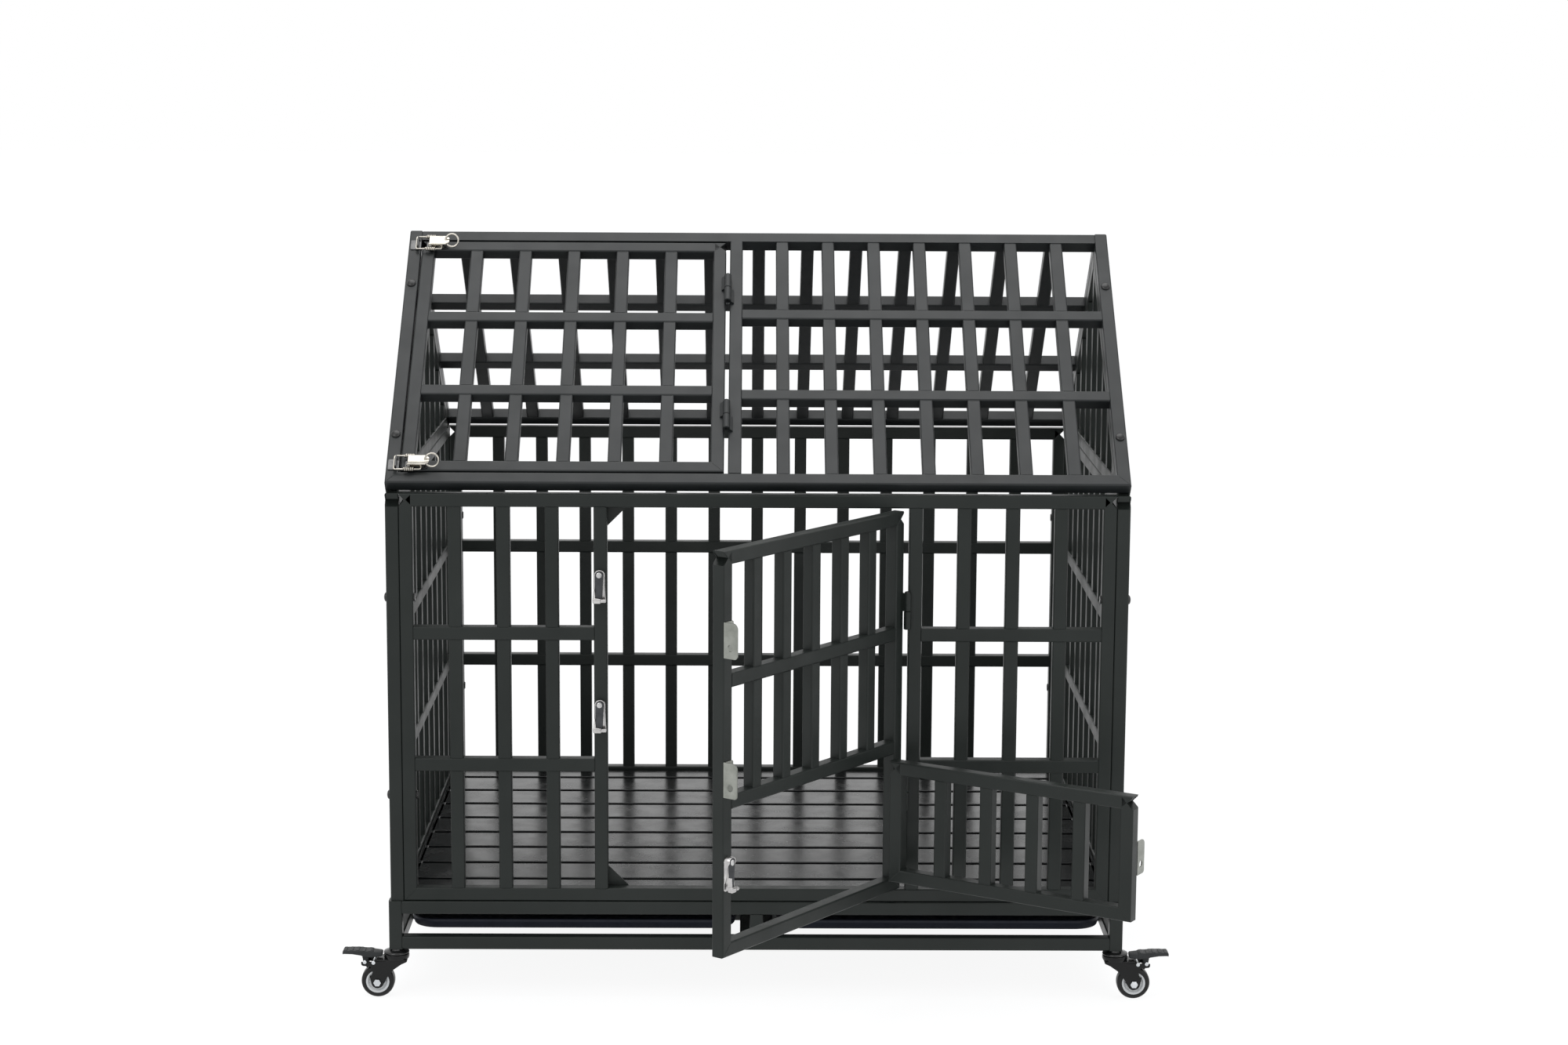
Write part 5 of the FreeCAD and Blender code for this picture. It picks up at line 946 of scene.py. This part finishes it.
def latch_housing():
    """Pressed housing: a back plate under an arch, and a wall round it that is highest over the rivet.

    Wall height over arc length s: h = 2.4 + 7.4 smooth(s near the arch), with its lower right end flared.
    """
    turn = np.linspace(0, math.pi, 17)
    arch = np.column_stack([0.75 + 7.9 * np.cos(turn), 7.9 * np.sin(turn)])
    outline = np.concatenate([[(-7.15, -40), (-5.6, -42), (7.2, -42), (8.65, -40)], arch])
    found = [outward(soft_plate(outline, 0, 1.5))]
    down_right = np.column_stack([np.linspace(0, 1, 12) ** 3 * 1.6 + 7.9, np.linspace(-40, -0.6, 12)[::-1]])[::-1]
    down_left = np.column_stack([np.full(10, -6.4), np.linspace(-0.6, -30, 10)])
    arch = np.column_stack([0.75 + 7.15 * np.cos(turn), 7.15 * np.sin(turn)])
    path = np.concatenate([down_right, arch, down_left])
    near_top = np.clip((path[:, 1] + 7) / 7, 0, 1)
    smooth = near_top * near_top * (3 - 2 * near_top)
    side = np.where(path[:, 0] > 0, 6.6, np.clip(6.6 + (path[:, 1] + 14) / 4, 2.0, 6.6))
    height = side + (9.9 - side) * smooth
    ahead = np.gradient(path, axis=0)
    ahead /= np.linalg.norm(ahead, axis=1, keepdims=True)
    across = np.column_stack([ahead[:, 1], -ahead[:, 0]])
    rings = []
    for point, n, h in zip(path, across, height):
        section = [(-0.75, 0.4), (-0.75, h - 0.6), (-0.5, h - 0.15), (0, h), (0.5, h - 0.15), (0.75, h - 0.6),
                   (0.75, 0.4)]
        rings.append([(*(point - n * s), w) for s, w in section])
    found.append(outward(lofted(rings)))
    found.append(outward(turned([(0, 1), (4.4, 1), (4, 2.4), (4, 6.9), (3.6, 7.2), (0, 7.2)])))
    return found


def latch_blade():
    """Lever's blade: it tapers from a round eye to the foot."""
    turn = np.linspace(0, math.pi, 15)
    eye = np.column_stack([6.3 * np.cos(turn), 6.3 * np.sin(turn)])
    outline = np.concatenate([[(-5, -41), (-4, -42), (3, -42), (4, -41)], eye])
    return [outward(soft_plate(outline, 7.5, 9.5))]


def latch_block():
    """Lever's bright foot: a thumb block folded across the blade, and the bolt pin."""
    found = []
    block = rounded([(-9.6, -42), (3.4, -42), (3.4, -34.6), (-5.2, -33.2), (-9.3, -33.4)],
                    (3.2, 2.2, 1.6, 1.5, 2.4))
    rings = []
    for w, inset in ((9.3, 0), (13.6, 0), (14.6, 0.35), (15.2, 1.1), (15.35, 2.2)):
        flat = pulled_in(block, inset) if inset else block
        rings.append(level_ring(flat, w))
    found.append(outward(lofted(rings)))
    fold = rounded([(-9.2, -34), (-5.1, -34), (-6.3, -20), (-7.6, -21.5)], 1.2)
    found.append(outward(soft_plate(fold, 8.2, 14.2, 0.5)))
    pin = along_axes(turned([(0, 0), (3, 0), (3, 8.9), (2.6, 9.9), (1.8, 10.2), (0, 10.2)]), *ALONG_X)
    found.append(lifted(pin, 0, -HOLE_OUT, -LATCH_REACH))
    return found


def latch_rivet():
    """Round rivet head over the lever's eye."""
    return [outward(turned(dome(4.4, 9.8, 11.8))), outward(turned([(0, 1), (2, 1), (2, 10), (0, 10)], 16))]


def strike(far, face, hole_z):
    """Bent strike: a flange on the stile's face, and a lug that stands out with the bolt's hole near its foot."""
    low, high = hole_z - 15, hole_z + 35
    flange = rounded(box_outline(far + 0.6, low, far + TUBE, high), (1, 2.5, 2.5, 1))
    flange = lifted(outward(soft_plate(flange, 0.0, STRIKE_SHEET)), 0, face)
    edge = STRIKE_STAND - face
    lug = rounded([(-face, low), (edge, low), (edge, high), (-face, high)], (0.8, 4.5, 8, 0.8), 5)
    lug = holed_plate(lug, (HOLE_OUT - 0.5 - face, hole_z), 5.0, -STRIKE_SHEET, 0.0)
    lug = along_axes(lug, (0, -1, 0), (0, 0, 1), (-1, 0, 0))
    return [flange, lifted(lug, far, 0)]


def dress_lever(body, place):
    """One lever: its blade, with its colour darkened as a painted dark reflection, stands for the solid, and its
    bright foot rides with it.
    """
    make_piece(body + "_blade", body, "latch_steel", latch_blade(), place, [body + "_lever"], "blade_painted_reflection")
    make_piece(body + "_foot", body, "latch_steel", latch_block(), place)


def dress_latches():
    """Three turning latches, with the strikes that their bolts pass through."""
    places = {name: seat(JAMB_X, FRONT, PANEL_TOP - drop) for name, drop in LATCH_DROPS.items()}
    housings, rivets = [], []
    for name, place in places.items():
        housings += [placed(part, place) for part in latch_housing()]
        rivets += [placed(part, place) for part in latch_rivet()]
        dress_lever(name + "_jamb_latch", place)
    make_piece("jamb_latch_pressings", "cabin", "latch_steel", housings, None, ["jamb_latch_housings"])
    make_piece("jamb_latch_rivet_heads", "cabin", "rivet_steel", rivets, None, ["jamb_latch_rivets"])
    stile = -(GAP / 2 + DOOR_LONG - TUBE + LATCH_OFFSET)
    height = SMALL_FOOT + SMALL_TALL - SMALL_LATCH_DROP
    place = seat(*from_door(stile, DOOR_FACE), height, (0, 0, 1), DOOR_ANGLE)
    make_piece("small_latch_pressing", "main_door", "latch_steel", latch_housing(), place, ["small_latch_housing"])
    make_piece("small_latch_rivet_head", "main_door", "rivet_steel", latch_rivet(), place, ["small_latch_rivet"])
    dress_lever("small_latch", place)
    far = -(GAP / 2 + DOOR_LONG)
    parts = []
    for drop in LATCH_DROPS.values():
        parts += strike(far, DOOR_FACE, PANEL_TALL - TUBE - GAP - drop - LATCH_REACH + STRIKE_RISE)
    make_piece("main_door_strike_plates", "main_door", "strike_steel", parts, MAIN_PLACE, ["main_door_strikes"])
    parts = strike(-(GAP / 2 + SMALL_LONG), PROUD, SMALL_TALL - SMALL_LATCH_DROP - LATCH_REACH + STRIKE_RISE)
    make_piece("small_door_strike_plate", "small_door", "strike_steel", parts, SMALL_PLACE, ["small_door_strike"])


# Toggle latches of the roof door, drawn from each lever's pivot: x along the crate, y into the roof, z upslope.
TOGGLE_X = -(LENGTH / 2 - TUBE - 1.5) + 13
TOGGLE_SPOTS = {"lower": ROOF_LOW + TUBE / 2, "upper": ROOF_HIGH - TUBE / 2}
ARM, ARM_DROP, SPREAD, REACH, WIRE = 18.0, 2.0, 13.0, 39.9, 1.2
PIVOT_RISE, STRAP_RISE = 8.0, 3.75
RING_HOLE, RING_RADIUS, RING_WIRE = 24.0, 9.9, 1.6


def toggle_lever():
    """Over-centre lever: two cheeks under a strap whose free end narrows and lifts a little for a finger."""
    found = []
    side = rounded([(-3, 1.2), (-3, -4.1), (-1.2, -4.5), (25, -4.5), (25, -3), (22, 2.6), (20, 5), (-1, 3.2)],
                   (1.2, 1.5, 1.5, 0.6, 1.2, 2, 2.2, 1.6))
    for low, high in ((-9, -7.5), (7.5, 9)):
        found.append(soft_plate(side, low, high, 0.35))
    along = np.array([-1, 4, 12, 20, 23.5, 25, 26.5, 28, 29.3, 30.0])
    half = np.array([8.9, 9, 9, 9, 8.9, 8.2, 7.4, 6.5, 5.3, 3.6])
    rise = np.array([0, 0, 0, 0, 0.05, 0.12, 0.25, 0.4, 0.55, 0.62])
    rings = []
    for x, h, up in zip(along, half, rise):
        under = [(-3, -h), (-3.5, -h), (-4.2, -h + 0.25), (-4.5, -h + 0.9)]
        rings.append([(x, y - up, z) for y, z in under + [(y, -z) for y, z in under[::-1]]])
    found.append(mirror_check(lofted(rings[::-1]), (1, 0, 0), (0, 1, 0), (0, 0, 1)))
    return found


def toggle_bail():
    """Bail: one bent wire from the lever round the keeper and back, with a spring wound into each arm.

    The spring is x = x0 - p t / (2 pi), y = y0 + r cos t, z = z0 + r sin t, with r easing in and out at its ends.
    """
    bend = 2.6
    turns, pitch, radius = 6, 2.75, 2.25
    t = np.linspace(0, 2 * math.pi * turns, 12 * turns + 1)
    ease = np.clip(np.minimum(t, t[-1] - t) / math.pi, 0, 1)
    spring = np.column_stack([-9.5 - pitch * t / (2 * math.pi), radius * ease * np.sin(t),
                              SPREAD + radius * ease * np.cos(t)])
    quarter = np.linspace(0, math.pi / 2, 5)
    turn_out = np.column_stack([-bend + bend * np.cos(quarter), 0 * quarter,
                                SPREAD - bend + bend * np.sin(quarter)])
    turn_in = np.column_stack([-REACH + bend - bend * np.sin(quarter), 0 * quarter,
                               SPREAD - bend + bend * np.cos(quarter)])
    half = np.concatenate([[(0, 0, 6.6), (0, 0, 9.0)], turn_out, spring, turn_in, [(-REACH, 0, 4.0)]])
    path = np.concatenate([half, half[::-1] * (1, 1, -1)])
    return [lifted(swept(path, WIRE, 10), ARM, ARM_DROP)]


def dress_toggles():
    """Two over-centre toggle latches: bases and rods on the door, levers, spring bails, pull rings and keepers."""
    bases, rods, keepers = [], [], []
    for name, spot in TOGGLE_SPOTS.items():
        place = on_roof(TOGGLE_X, -PIVOT_RISE, spot)
        plate = rounded([(-6, -7.1), (27, -7.1), (27, 7.1), (-6, 7.1)], 2.0)
        local = [outward(soft_plate(plate, -PIVOT_RISE, -6.5))]
        for u in (11, 21):
            local.append(outward(turned(dome(3, -6.6, -5.3)), u))
        ear = anticlockwise(rounded([(-2.6, 7.8), (-2.6, -1.4), (-1.4, -2.6), (1.4, -2.6), (2.8, -1.2), (6, 7.8)],
                                    (0.3, 1.2, 1.2, 1.2, 1.2, 0.3)))
        for low, high in ((-7.1, -5.4), (5.4, 7.1)):
            local.append(soft_plate(ear, low, high, 0.3))
        bases += [placed(part, place) for part in local]
        end = [(0, -10.3), (1.8, -10.3), (2.5, -9.8), (2.5, -9.3), (1.5, -9.3)]
        rod = turned(end + flipped(end), 16)
        rods.append(placed(rod, place))
        body = name + "_toggle_lever"
        make_piece(name + "_toggle_strap", body, "toggle_nickel", toggle_lever(), place, [body])
        make_piece(name + "_toggle_wire", name + "_bail", "toggle_nickel", toggle_bail(), place,
                   [name + "_toggle_bail"])
        centre = np.array(roof_spot(TOGGLE_X + RING_HOLE + RING_RADIUS, -(PIVOT_RISE + STRAP_RISE), spot))
        turn = np.linspace(0, 2 * math.pi, 48, endpoint=False)
        circle = centre + RING_RADIUS * np.column_stack([np.cos(turn), 0 * turn, np.sin(turn)])
        make_piece(name + "_ring_wire", name + "_ring", "toggle_nickel", [swept(circle, RING_WIRE, 12, True)], None,
                   [name + "_pull_ring"])
        keeper = on_roof(TOGGLE_X, 0, spot)
        edge = -(TUBE + 1.5) - 13
        plate = rounded([(edge + 3, -10), (edge + 19.5, -10), (edge + 19.5, 10), (edge + 3, 10)], 2.0)
        lip = ARM - REACH + WIRE + 0.5
        hook = anticlockwise(rounded([(lip, 0.0), (lip, -10.2), (lip + 0.9, -11.4), (lip + 1.9, -11.2),
                                      (lip + 2.1, -1.5), (lip + 2.1, 0.0)], (0.2, 0.6, 0.6, 0.5, 0.5, 0.2)))
        keepers += [placed(outward(soft_plate(plate, 0, 1.5)), keeper),
                    placed(soft_plate(hook, -10, 10, 0.4), keeper)]
    make_piece("toggle_base_plates", "roof_door", "toggle_base_steel", bases, None, ["toggle_bases"])
    make_piece("toggle_pivot_rods", "roof_door", "rivet_steel", rods, None, ["toggle_rods"])
    make_piece("toggle_keeper_hooks", "cabin", "toggle_base_steel", keepers, None, ["toggle_keepers"])


# Screws, bolts and hinge pins.
def dress_fasteners():
    """Round-headed bolts through the sides, screws down the roof's ends, and the hinge pins."""
    parts = []
    for side in (-1, 1):
        for y in (CENTRE - (DEPTH / 2 - TUBE / 2), CENTRE + (DEPTH / 2 - TUBE / 2)):
            for height in (162, 463):
                for profile in (dome(7, 0, 4, 7, 0.8), [(0, -40.5), (4, -40.5), (4, 0.4), (0, 0.4)],
                                [(0, -42), (5.4, -42), (6.4, -41), (6.4, -40), (0, -40)]):
                    head = along_axes(turned(profile, 32), (0, side, 0), (0, 0, 1), (side, 0, 0))
                    parts.append(lifted(head, side * LENGTH / 2, y, BASE_TOP + height))
    make_piece("side_bolt_heads", "cabin", "black_fastener", parts, None, ["panel_bolts"])
    for node, half in (("roof_front_bolts", -1), ("roof_back_bolts", 1)):
        place = seat(0, CENTRE + half * DEPTH / 2, PANEL_TOP + EAVE_LIFT, (half, 0, 0), LEAN)
        parts = []
        for x in (-(LENGTH / 2 - TUBE / 2), LENGTH / 2 - TUBE / 2):
            for height in (93, 404):
                for profile in (dome(7, 0, 4, 7, 0.8), [(0, -36), (3.4, -36), (4, -35), (4, 0.4), (0, 0.4)]):
                    head = along_axes(turned(profile, 32), (-half, 0, 0), (0, 0, 1), (0, half, 0))
                    parts.append(lifted(head, x, 0, height))
        make_piece(node + "_heads", "cabin", "black_fastener", parts, place, [node])
    rows = (("main_hinge_pins", "cabin", seat(*MAIN_PIN, BASE_TOP + HINGE_DROP), KNUCKLE,
             PANEL_TALL - 2 * HINGE_DROP - KNUCKLE_PAIR),
            ("small_hinge_pins", "main_door", seat(*from_door(*SMALL_PIN), SMALL_FOOT + SMALL_DROP), SMALL_KNUCKLE,
             SMALL_TALL - 2 * SMALL_DROP - SMALL_PAIR),
            ("roof_hinge_pins", "cabin", on_roof(ROOF_PIN_X, -PROUD, TUBE + ROOF_INSET), KNUCKLE,
             SLOPE - 2 * (TUBE + ROOF_INSET) - KNUCKLE_PAIR))
    for node, body, place, size, spacing in rows:
        top = 2 * size + KNUCKLE_GAP + 0.3
        parts = []
        for foot in (0, spacing):
            profile = [(0, 0), (2.5, 0), (2.5, top), (4.5, top), (4.5, top + 0.8), (3.6, top + 1.8),
                       (1.8, top + 2.4), (0, top + 2.5)]
            parts.append(lifted(turned(profile, 20), 0, 0, foot))
        make_piece(node + "_heads", body, "black_fastener", parts, place, [node])


# Trays.
def tray(side):
    """Moulded pan: a rolled rim, walls that lean in to a raised floor edge, and shallow ribs across the floor.

    Each ring is a rounded box; the rings run up the outside, over the rim, down the inside and across the floor.
    """
    half_x, half_y = 247.0, 365.0
    rings = []
    for inset, height in ((32, 0.0), (27, 0.2), (10, 3.4), (4.4, 5.2), (3.2, 6.4), (0.4, 15.0), (0, 16.2),
                          (0.25, 18.4), (0.8, 19.6), (1.6, 20.0), (2.5, 19.6), (3.1, 18.4), (3.4, 15.4), (6.2, 8.2),
                          (8.0, 7.2), (13, 5.8), (30, 2.9), (34, 2.5)):
        x, y = half_x - inset, half_y - inset
        flat = box_outline(-x, -y, x, y, max(40 - inset, 6.0), 10)
        rings.append(level_ring(flat, height))
    found = [lofted(rings)]
    for k in range(9):
        y = -272 + 68 * k
        rib = box_outline(-half_x + 40, y - 3.2, half_x - 40, y + 3.2)
        found.append(soft_plate(rounded(rib, 2.6), 2.2, 3.9, 1.2))
    middle = (side * (TRAY_INNER + half_x), FRONT + TRAY_INSET + half_y, CASTER_TALL + TUBE + 0.4)
    return [lifted(part, *middle) for part in found]


def dress_trays():
    """Two pull-out trays."""
    for name, side in (("left_tray", -1), ("right_tray", 1)):
        make_piece(name + "_pan", name, "tray_plastic", tray(side), None, [name])


# Casters, drawn at a swivel axis with the wheel trailing towards -x.
FORK_TOP = CASTER_TALL - 15
AXLE = (-AXLE_OFFSET, WHEEL_RADIUS)


def caster_fork():
    """Pressed fork: a crown plate over two cheeks whose edge sweeps down round the axle, and the lower race.

    The cheek's outline is a row of corners rounded by tangent arcs; the race is a spun profile.
    """
    turn = np.radians(np.linspace(200, 340, 13))
    eye = np.column_stack([AXLE[0] + 9.5 * np.cos(turn), AXLE[1] + 9.5 * np.sin(turn)])
    cheek = rounded([(-52, FORK_TOP), (-52, 50.6), (-38, 49.6), (-34.8, 43), (-37.4, 31)], (1, 3.5, 5, 6, 3))
    back = rounded([(-18.2, 24.5), (-13, 32.5), (-3.5, 44.5), (8, 52.6), (17, 56.8), (17, FORK_TOP)],
                   (3, 7, 9, 7, 2.5, 1))
    outline = np.concatenate([cheek, eye, back])
    found = []
    for low, high in ((-15.1, -12.6), (12.6, 15.1)):
        found.append(outward(soft_plate(outline, low, high, 0.45)))
    crown = rounded([(-30, -15.1), (17, -15.1), (17, 15.1), (-30, 15.1)], (1, 7, 7, 1), 6)
    found.append(soft_plate(crown, FORK_TOP - 2.5, FORK_TOP, 0.6))
    race = turned([(4.2, -1), (16.5, -1), (18.2, -0.4), (19.1, 1.6), (19.3, 4), (19.0, 6.2), (18.2, 7.3),
                   (16.8, 7.6), (4.2, 7.6)], 48)
    return found + [lifted(race, 0, 0, FORK_TOP)]


def caster_race():
    """Upper race: a pressed cup with a rolled lip, a hub under the leg, the king pin and the stem in the leg."""
    cup = turned([(0, -7), (17.4, -7), (18.9, -6.65), (19.3, -5.8), (18.9, -4.5), (17.6, -3.7), (15.6, -3.1),
                  (12.8, -2.2), (11.4, -0.8), (10.6, 0), (0, 0)], 48)
    king = turned([(0, -23), (6.0, -23), (7, -22.2), (7, -21), (6, -20.4), (4, -20), (4, -6.9), (0, -6.9)], 24)
    stem = turned([(0, -0.1), (5, -0.1), (5, 28), (4, 30), (0, 30)], 20)
    return [lifted(part, 0, 0, CASTER_TALL) for part in (cup, king, stem)]


def caster_pedal():
    """Brake pedal: a stepped, slightly rising tongue with ribs across it, and the shoe that bites the tyre."""
    top = FORK_TOP
    along = np.array([-21, -23, -33.5, -35, -36.5, -49, -50.5, -52, -66, -78.5, -80.1, -80.6])
    upper = np.array([8.6, 9.6, 10.6, 11.2, 11.8, 12.0, 12.5, 12.9, 13.0, 12.7, 11.6, 10.2])
    lower = np.array([4.2, 3.4, 2.6, 2.4, 2.2, 3.0, 4.0, 5.2, 7.4, 7.6, 6.6, 7.4])
    half = np.array([7.5, 9, 10.2, 10.6, 11.2, 11.4, 11.5, 11.5, 11.5, 11.0, 9.8, 8.6])
    rings = []
    for x, high, low, h in zip(along, upper, lower, half):
        flat = box_outline(-h, top + low, h, top + high, 0.9, 3)
        rings.append(np.column_stack([np.full(len(flat), x), flat[:, 0], flat[:, 1]]))
    found = [lofted(rings[::-1])]
    for k in range(5):
        x = -39.5 - 9.2 * k
        foot = top + float(np.interp(-x, -along, upper)) - 0.5
        ridge = rounded(box_outline(x - 2.6, -9.6, x + 2.6, 9.6), 1.6)
        found.append(soft_plate(ridge, foot, foot + 1.1, 0.5))
    shoe = rounded([(-49, top - 8), (-44, top - 14), (-41.5, top - 13), (-42.5, top - 6), (-42, top + 3),
                    (-51, top + 3)], (2, 1, 1, 2, 0.3, 0.3))
    found.append(outward(soft_plate(anticlockwise(shoe), -9, 9, 0.6)))
    return found


def caster_tyre():
    """Tyre: a tread with a shallow crown, round shoulders, and a moulded step where the side wall meets the rim."""
    side = [(17.5, -11), (18.2, -11.0), (18.6, -10.6), (20.2, -10.75), (21.6, -10.7), (23.0, -9.9), (24.1, -8.6),
            (24.7, -7.0), (24.92, -5.2), (25.0, -2.6)]
    return [turned(side + flipped(side), 72)]


def caster_hub():
    """Wheel centre: a dished disc with a raised rim, a boss round the axle and eight ribs between them."""
    side = [(3.05, -12.2), (5.9, -12.2), (6.5, -11.6), (6.9, -8.2), (8.0, -7.6), (12.6, -7.9), (13.6, -9.4),
            (14.4, -10.7), (15.0, -11), (17.5, -11)]
    rib = soft_plate(rounded(box_outline(6.4, -0.8, 13.4, 0.8), 0.4), -9.3, 9.3, 0.5)
    return [turned(side + flipped(side), 72)] + [placed(rib, seat(degrees=45 * k)) for k in range(8)]


def caster_bolts():
    """Axle with a chamfered hexagon head and nut, and two rivets with round heads through the fork."""
    turn = np.radians(np.arange(6) * 60.0)
    hexagon = np.column_stack([5.8 * np.cos(turn), 5.8 * np.sin(turn)])
    found = []
    for low, high in ((-19.1, -15.1), (15.1, 19.1)):
        plate = soft_plate(hexagon, low, high, 0.55)
        found.append(lifted(outward(plate), AXLE[0], 0, AXLE[1]))
    end = [(0, -19.6), (2.2, -19.6), (3, -18.9)]
    shaft = turned(end + flipped(end), 20)
    found.append(lifted(outward(shaft), AXLE[0], 0, AXLE[1]))
    for x, z in ((-46.6, FORK_TOP - 3.5), (-33.6, FORK_TOP - 4.5)):
        head = [(0, -16.8), (1.6, -16.7), (2.6, -16.2), (3, -15.4), (3, -15.1), (2, -15.1)]
        rivet = turned(head + flipped(head), 24)
        found.append(lifted(outward(rivet), x, 0, z))
    return found


def dress_casters():
    """Four braked swivel casters, each with its wheel trailing outwards along the crate."""
    stem_x, stem_y = LENGTH / 2 + OVERHANG - TUBE / 2, DEPTH / 2 + OVERHANG - TUBE / 2
    races = []
    for name, side, end in (("front_left", -1, -1), ("front_right", 1, -1), ("back_left", -1, 1),
                            ("back_right", 1, 1)):
        place = seat(side * stem_x, CENTRE + end * stem_y, 0, (0, 0, 1), 0 if side < 0 else 180)
        races += [placed(part, place) for part in caster_race()]
        wheel = seat(side * (stem_x + AXLE_OFFSET), CENTRE + end * stem_y, WHEEL_RADIUS, (1, 0, 0), 90)
        for label, body, slot, parts, where in (
                ("fork", "swivel", "fork_paint", caster_fork(), place),
                ("caster_bolts", "swivel", "axle_zinc", caster_bolts(), place),
                ("brake_pedal", "pedal", "pedal_plastic", caster_pedal(), place),
                ("tyre", "wheel", "tyre_rubber", caster_tyre(), wheel),
                ("hub", "wheel", "hub_plastic", caster_hub(), wheel)):
            make_piece("%s_%s_form" % (name, label), "%s_%s" % (name, body), slot, parts, where,
                       ["%s_%s" % (name, label)])
    make_piece("caster_race_cups", "cabin", "race_steel", races, None, ["caster_races"])


# Camera and light first, then the crate.
def set_camera():
    """Stand the camera where the photograph was taken, and turn it by heading, fall and roll."""
    data = bpy.data.cameras.new("camera")
    data.sensor_fit = "HORIZONTAL"
    data.sensor_width = 36.0
    data.lens = 69.58
    data.clip_end = 50
    camera = bpy.data.objects.new("camera", data)
    bpy.context.scene.collection.objects.link(camera)
    yaw, fall, roll = math.radians(0.638), math.radians(9.334), math.radians(0.344)
    ahead = np.array([math.sin(yaw) * math.cos(fall), math.cos(yaw) * math.cos(fall), -math.sin(fall)])
    right = np.cross(ahead, (0, 0, 1))
    right /= np.linalg.norm(right)
    up = np.cross(right, ahead)
    right, up = (right * math.cos(roll) + up * math.sin(roll), up * math.cos(roll) - right * math.sin(roll))
    matrix = np.eye(4)
    matrix[:3, 0] = right
    matrix[:3, 1] = up
    matrix[:3, 2] = -ahead
    matrix[:3, 3] = (-0.01113, -4.62065, 1.45375)
    camera.matrix_world = Matrix(matrix.tolist())
    bpy.context.scene.camera = camera


def add_lamp(name, place, target, size, power):
    """Soft lamp at a place, facing a target."""
    data = bpy.data.lights.new(name, "AREA")
    data.shape = "SQUARE"
    data.size = size
    data.energy = power
    lamp = bpy.data.objects.new(name, data)
    bpy.context.scene.collection.objects.link(lamp)
    lamp.location = place
    lamp.rotation_euler = (Vector(target) - Vector(place)).to_track_quat("-Z", "Y").to_euler()


def mix_white(tree, kind, strength, share, plain, out):
    """Show the camera, mirrors and glass a share of plain white instead of what lights the crate.

    The mix is the share times the highest of three ray tests.
    """
    white = tree.nodes.new(kind)
    white.inputs["Color"].default_value = (1, 1, 1, 1)
    white.inputs["Strength"].default_value = strength
    ray = tree.nodes.new("ShaderNodeLightPath")
    found = ray.outputs["Is Camera Ray"]
    for name in ("Is Glossy Ray", "Is Transmission Ray"):
        highest = tree.nodes.new("ShaderNodeMath")
        highest.operation = "MAXIMUM"
        tree.links.new(found, highest.inputs[0])
        tree.links.new(ray.outputs[name], highest.inputs[1])
        found = highest.outputs[0]
    scaled = tree.nodes.new("ShaderNodeMath")
    scaled.operation = "MULTIPLY"
    scaled.inputs[1].default_value = share
    tree.links.new(found, scaled.inputs[0])
    mix = tree.nodes.new("ShaderNodeMixShader")
    for socket, source in zip(mix.inputs, (scaled, plain, white)):
        tree.links.new(source.outputs[0], socket)
    tree.links.new(mix.outputs[0], out.inputs["Surface"])


def set_studio():
    """White world, pale floor that keeps the object's shadow, and three soft lamps."""
    scene = bpy.context.scene
    scene.view_settings.view_transform = "Standard"
    world = bpy.data.worlds.new("studio")
    world.use_nodes = True
    scene.world = world
    tree = world.node_tree
    tree.nodes.clear()
    light = tree.nodes.new("ShaderNodeBackground")
    light.inputs["Color"].default_value = (0.9, 0.95, 1.0, 1)
    light.inputs["Strength"].default_value = 0.55
    mix_white(tree, "ShaderNodeBackground", 1.0, 1.0, light, tree.nodes.new("ShaderNodeOutputWorld"))

    mesh = bpy.data.meshes.new("studio_floor")
    wide = 30.0
    mesh.from_pydata([(-wide, -wide, 0), (wide, -wide, 0), (wide, wide, 0), (-wide, wide, 0)], [], [(0, 1, 2, 3)])
    floor = bpy.data.objects.new("studio_floor", mesh)
    scene.collection.objects.link(floor)
    material, tree, shader = new_finish("pale floor")
    shader.inputs["Base Color"].default_value = (0.9, 0.9, 0.9, 1)
    shader.inputs["Roughness"].default_value = 0.9
    shader.inputs["Specular IOR Level"].default_value = 0.1
    mix_white(tree, "ShaderNodeEmission", 1.14, 0.8, shader, tree.nodes["Material Output"])
    mesh.materials.append(material)
    add_lamp("key_lamp", (-2.6, -3.4, 3.6), (0, 0, 0.5), 2.4, 42)
    add_lamp("fill_lamp", (3.2, -3.0, 2.4), (0, 0, 0.5), 2.4, 18)
    add_lamp("top_lamp", (0.0, 0.6, 4.2), (0, 0.2, 0.5), 3.2, 55)


set_camera()
set_studio()
for row in frame["record"]["subparts"]:
    node = frame["nodes"][row["node"]]
    node.data.materials.clear()
    node.data.materials.append(FINISHES[row["material_slot"]])
dress_base()
dress_floor()
dress_front_panel()
dress_back_panel()
dress_side_panels()
dress_gables()
dress_roof()
dress_roof_door()
dress_main_door()
dress_small_door()
dress_latches()
dress_toggles()
dress_fasteners()
dress_trays()
dress_casters()
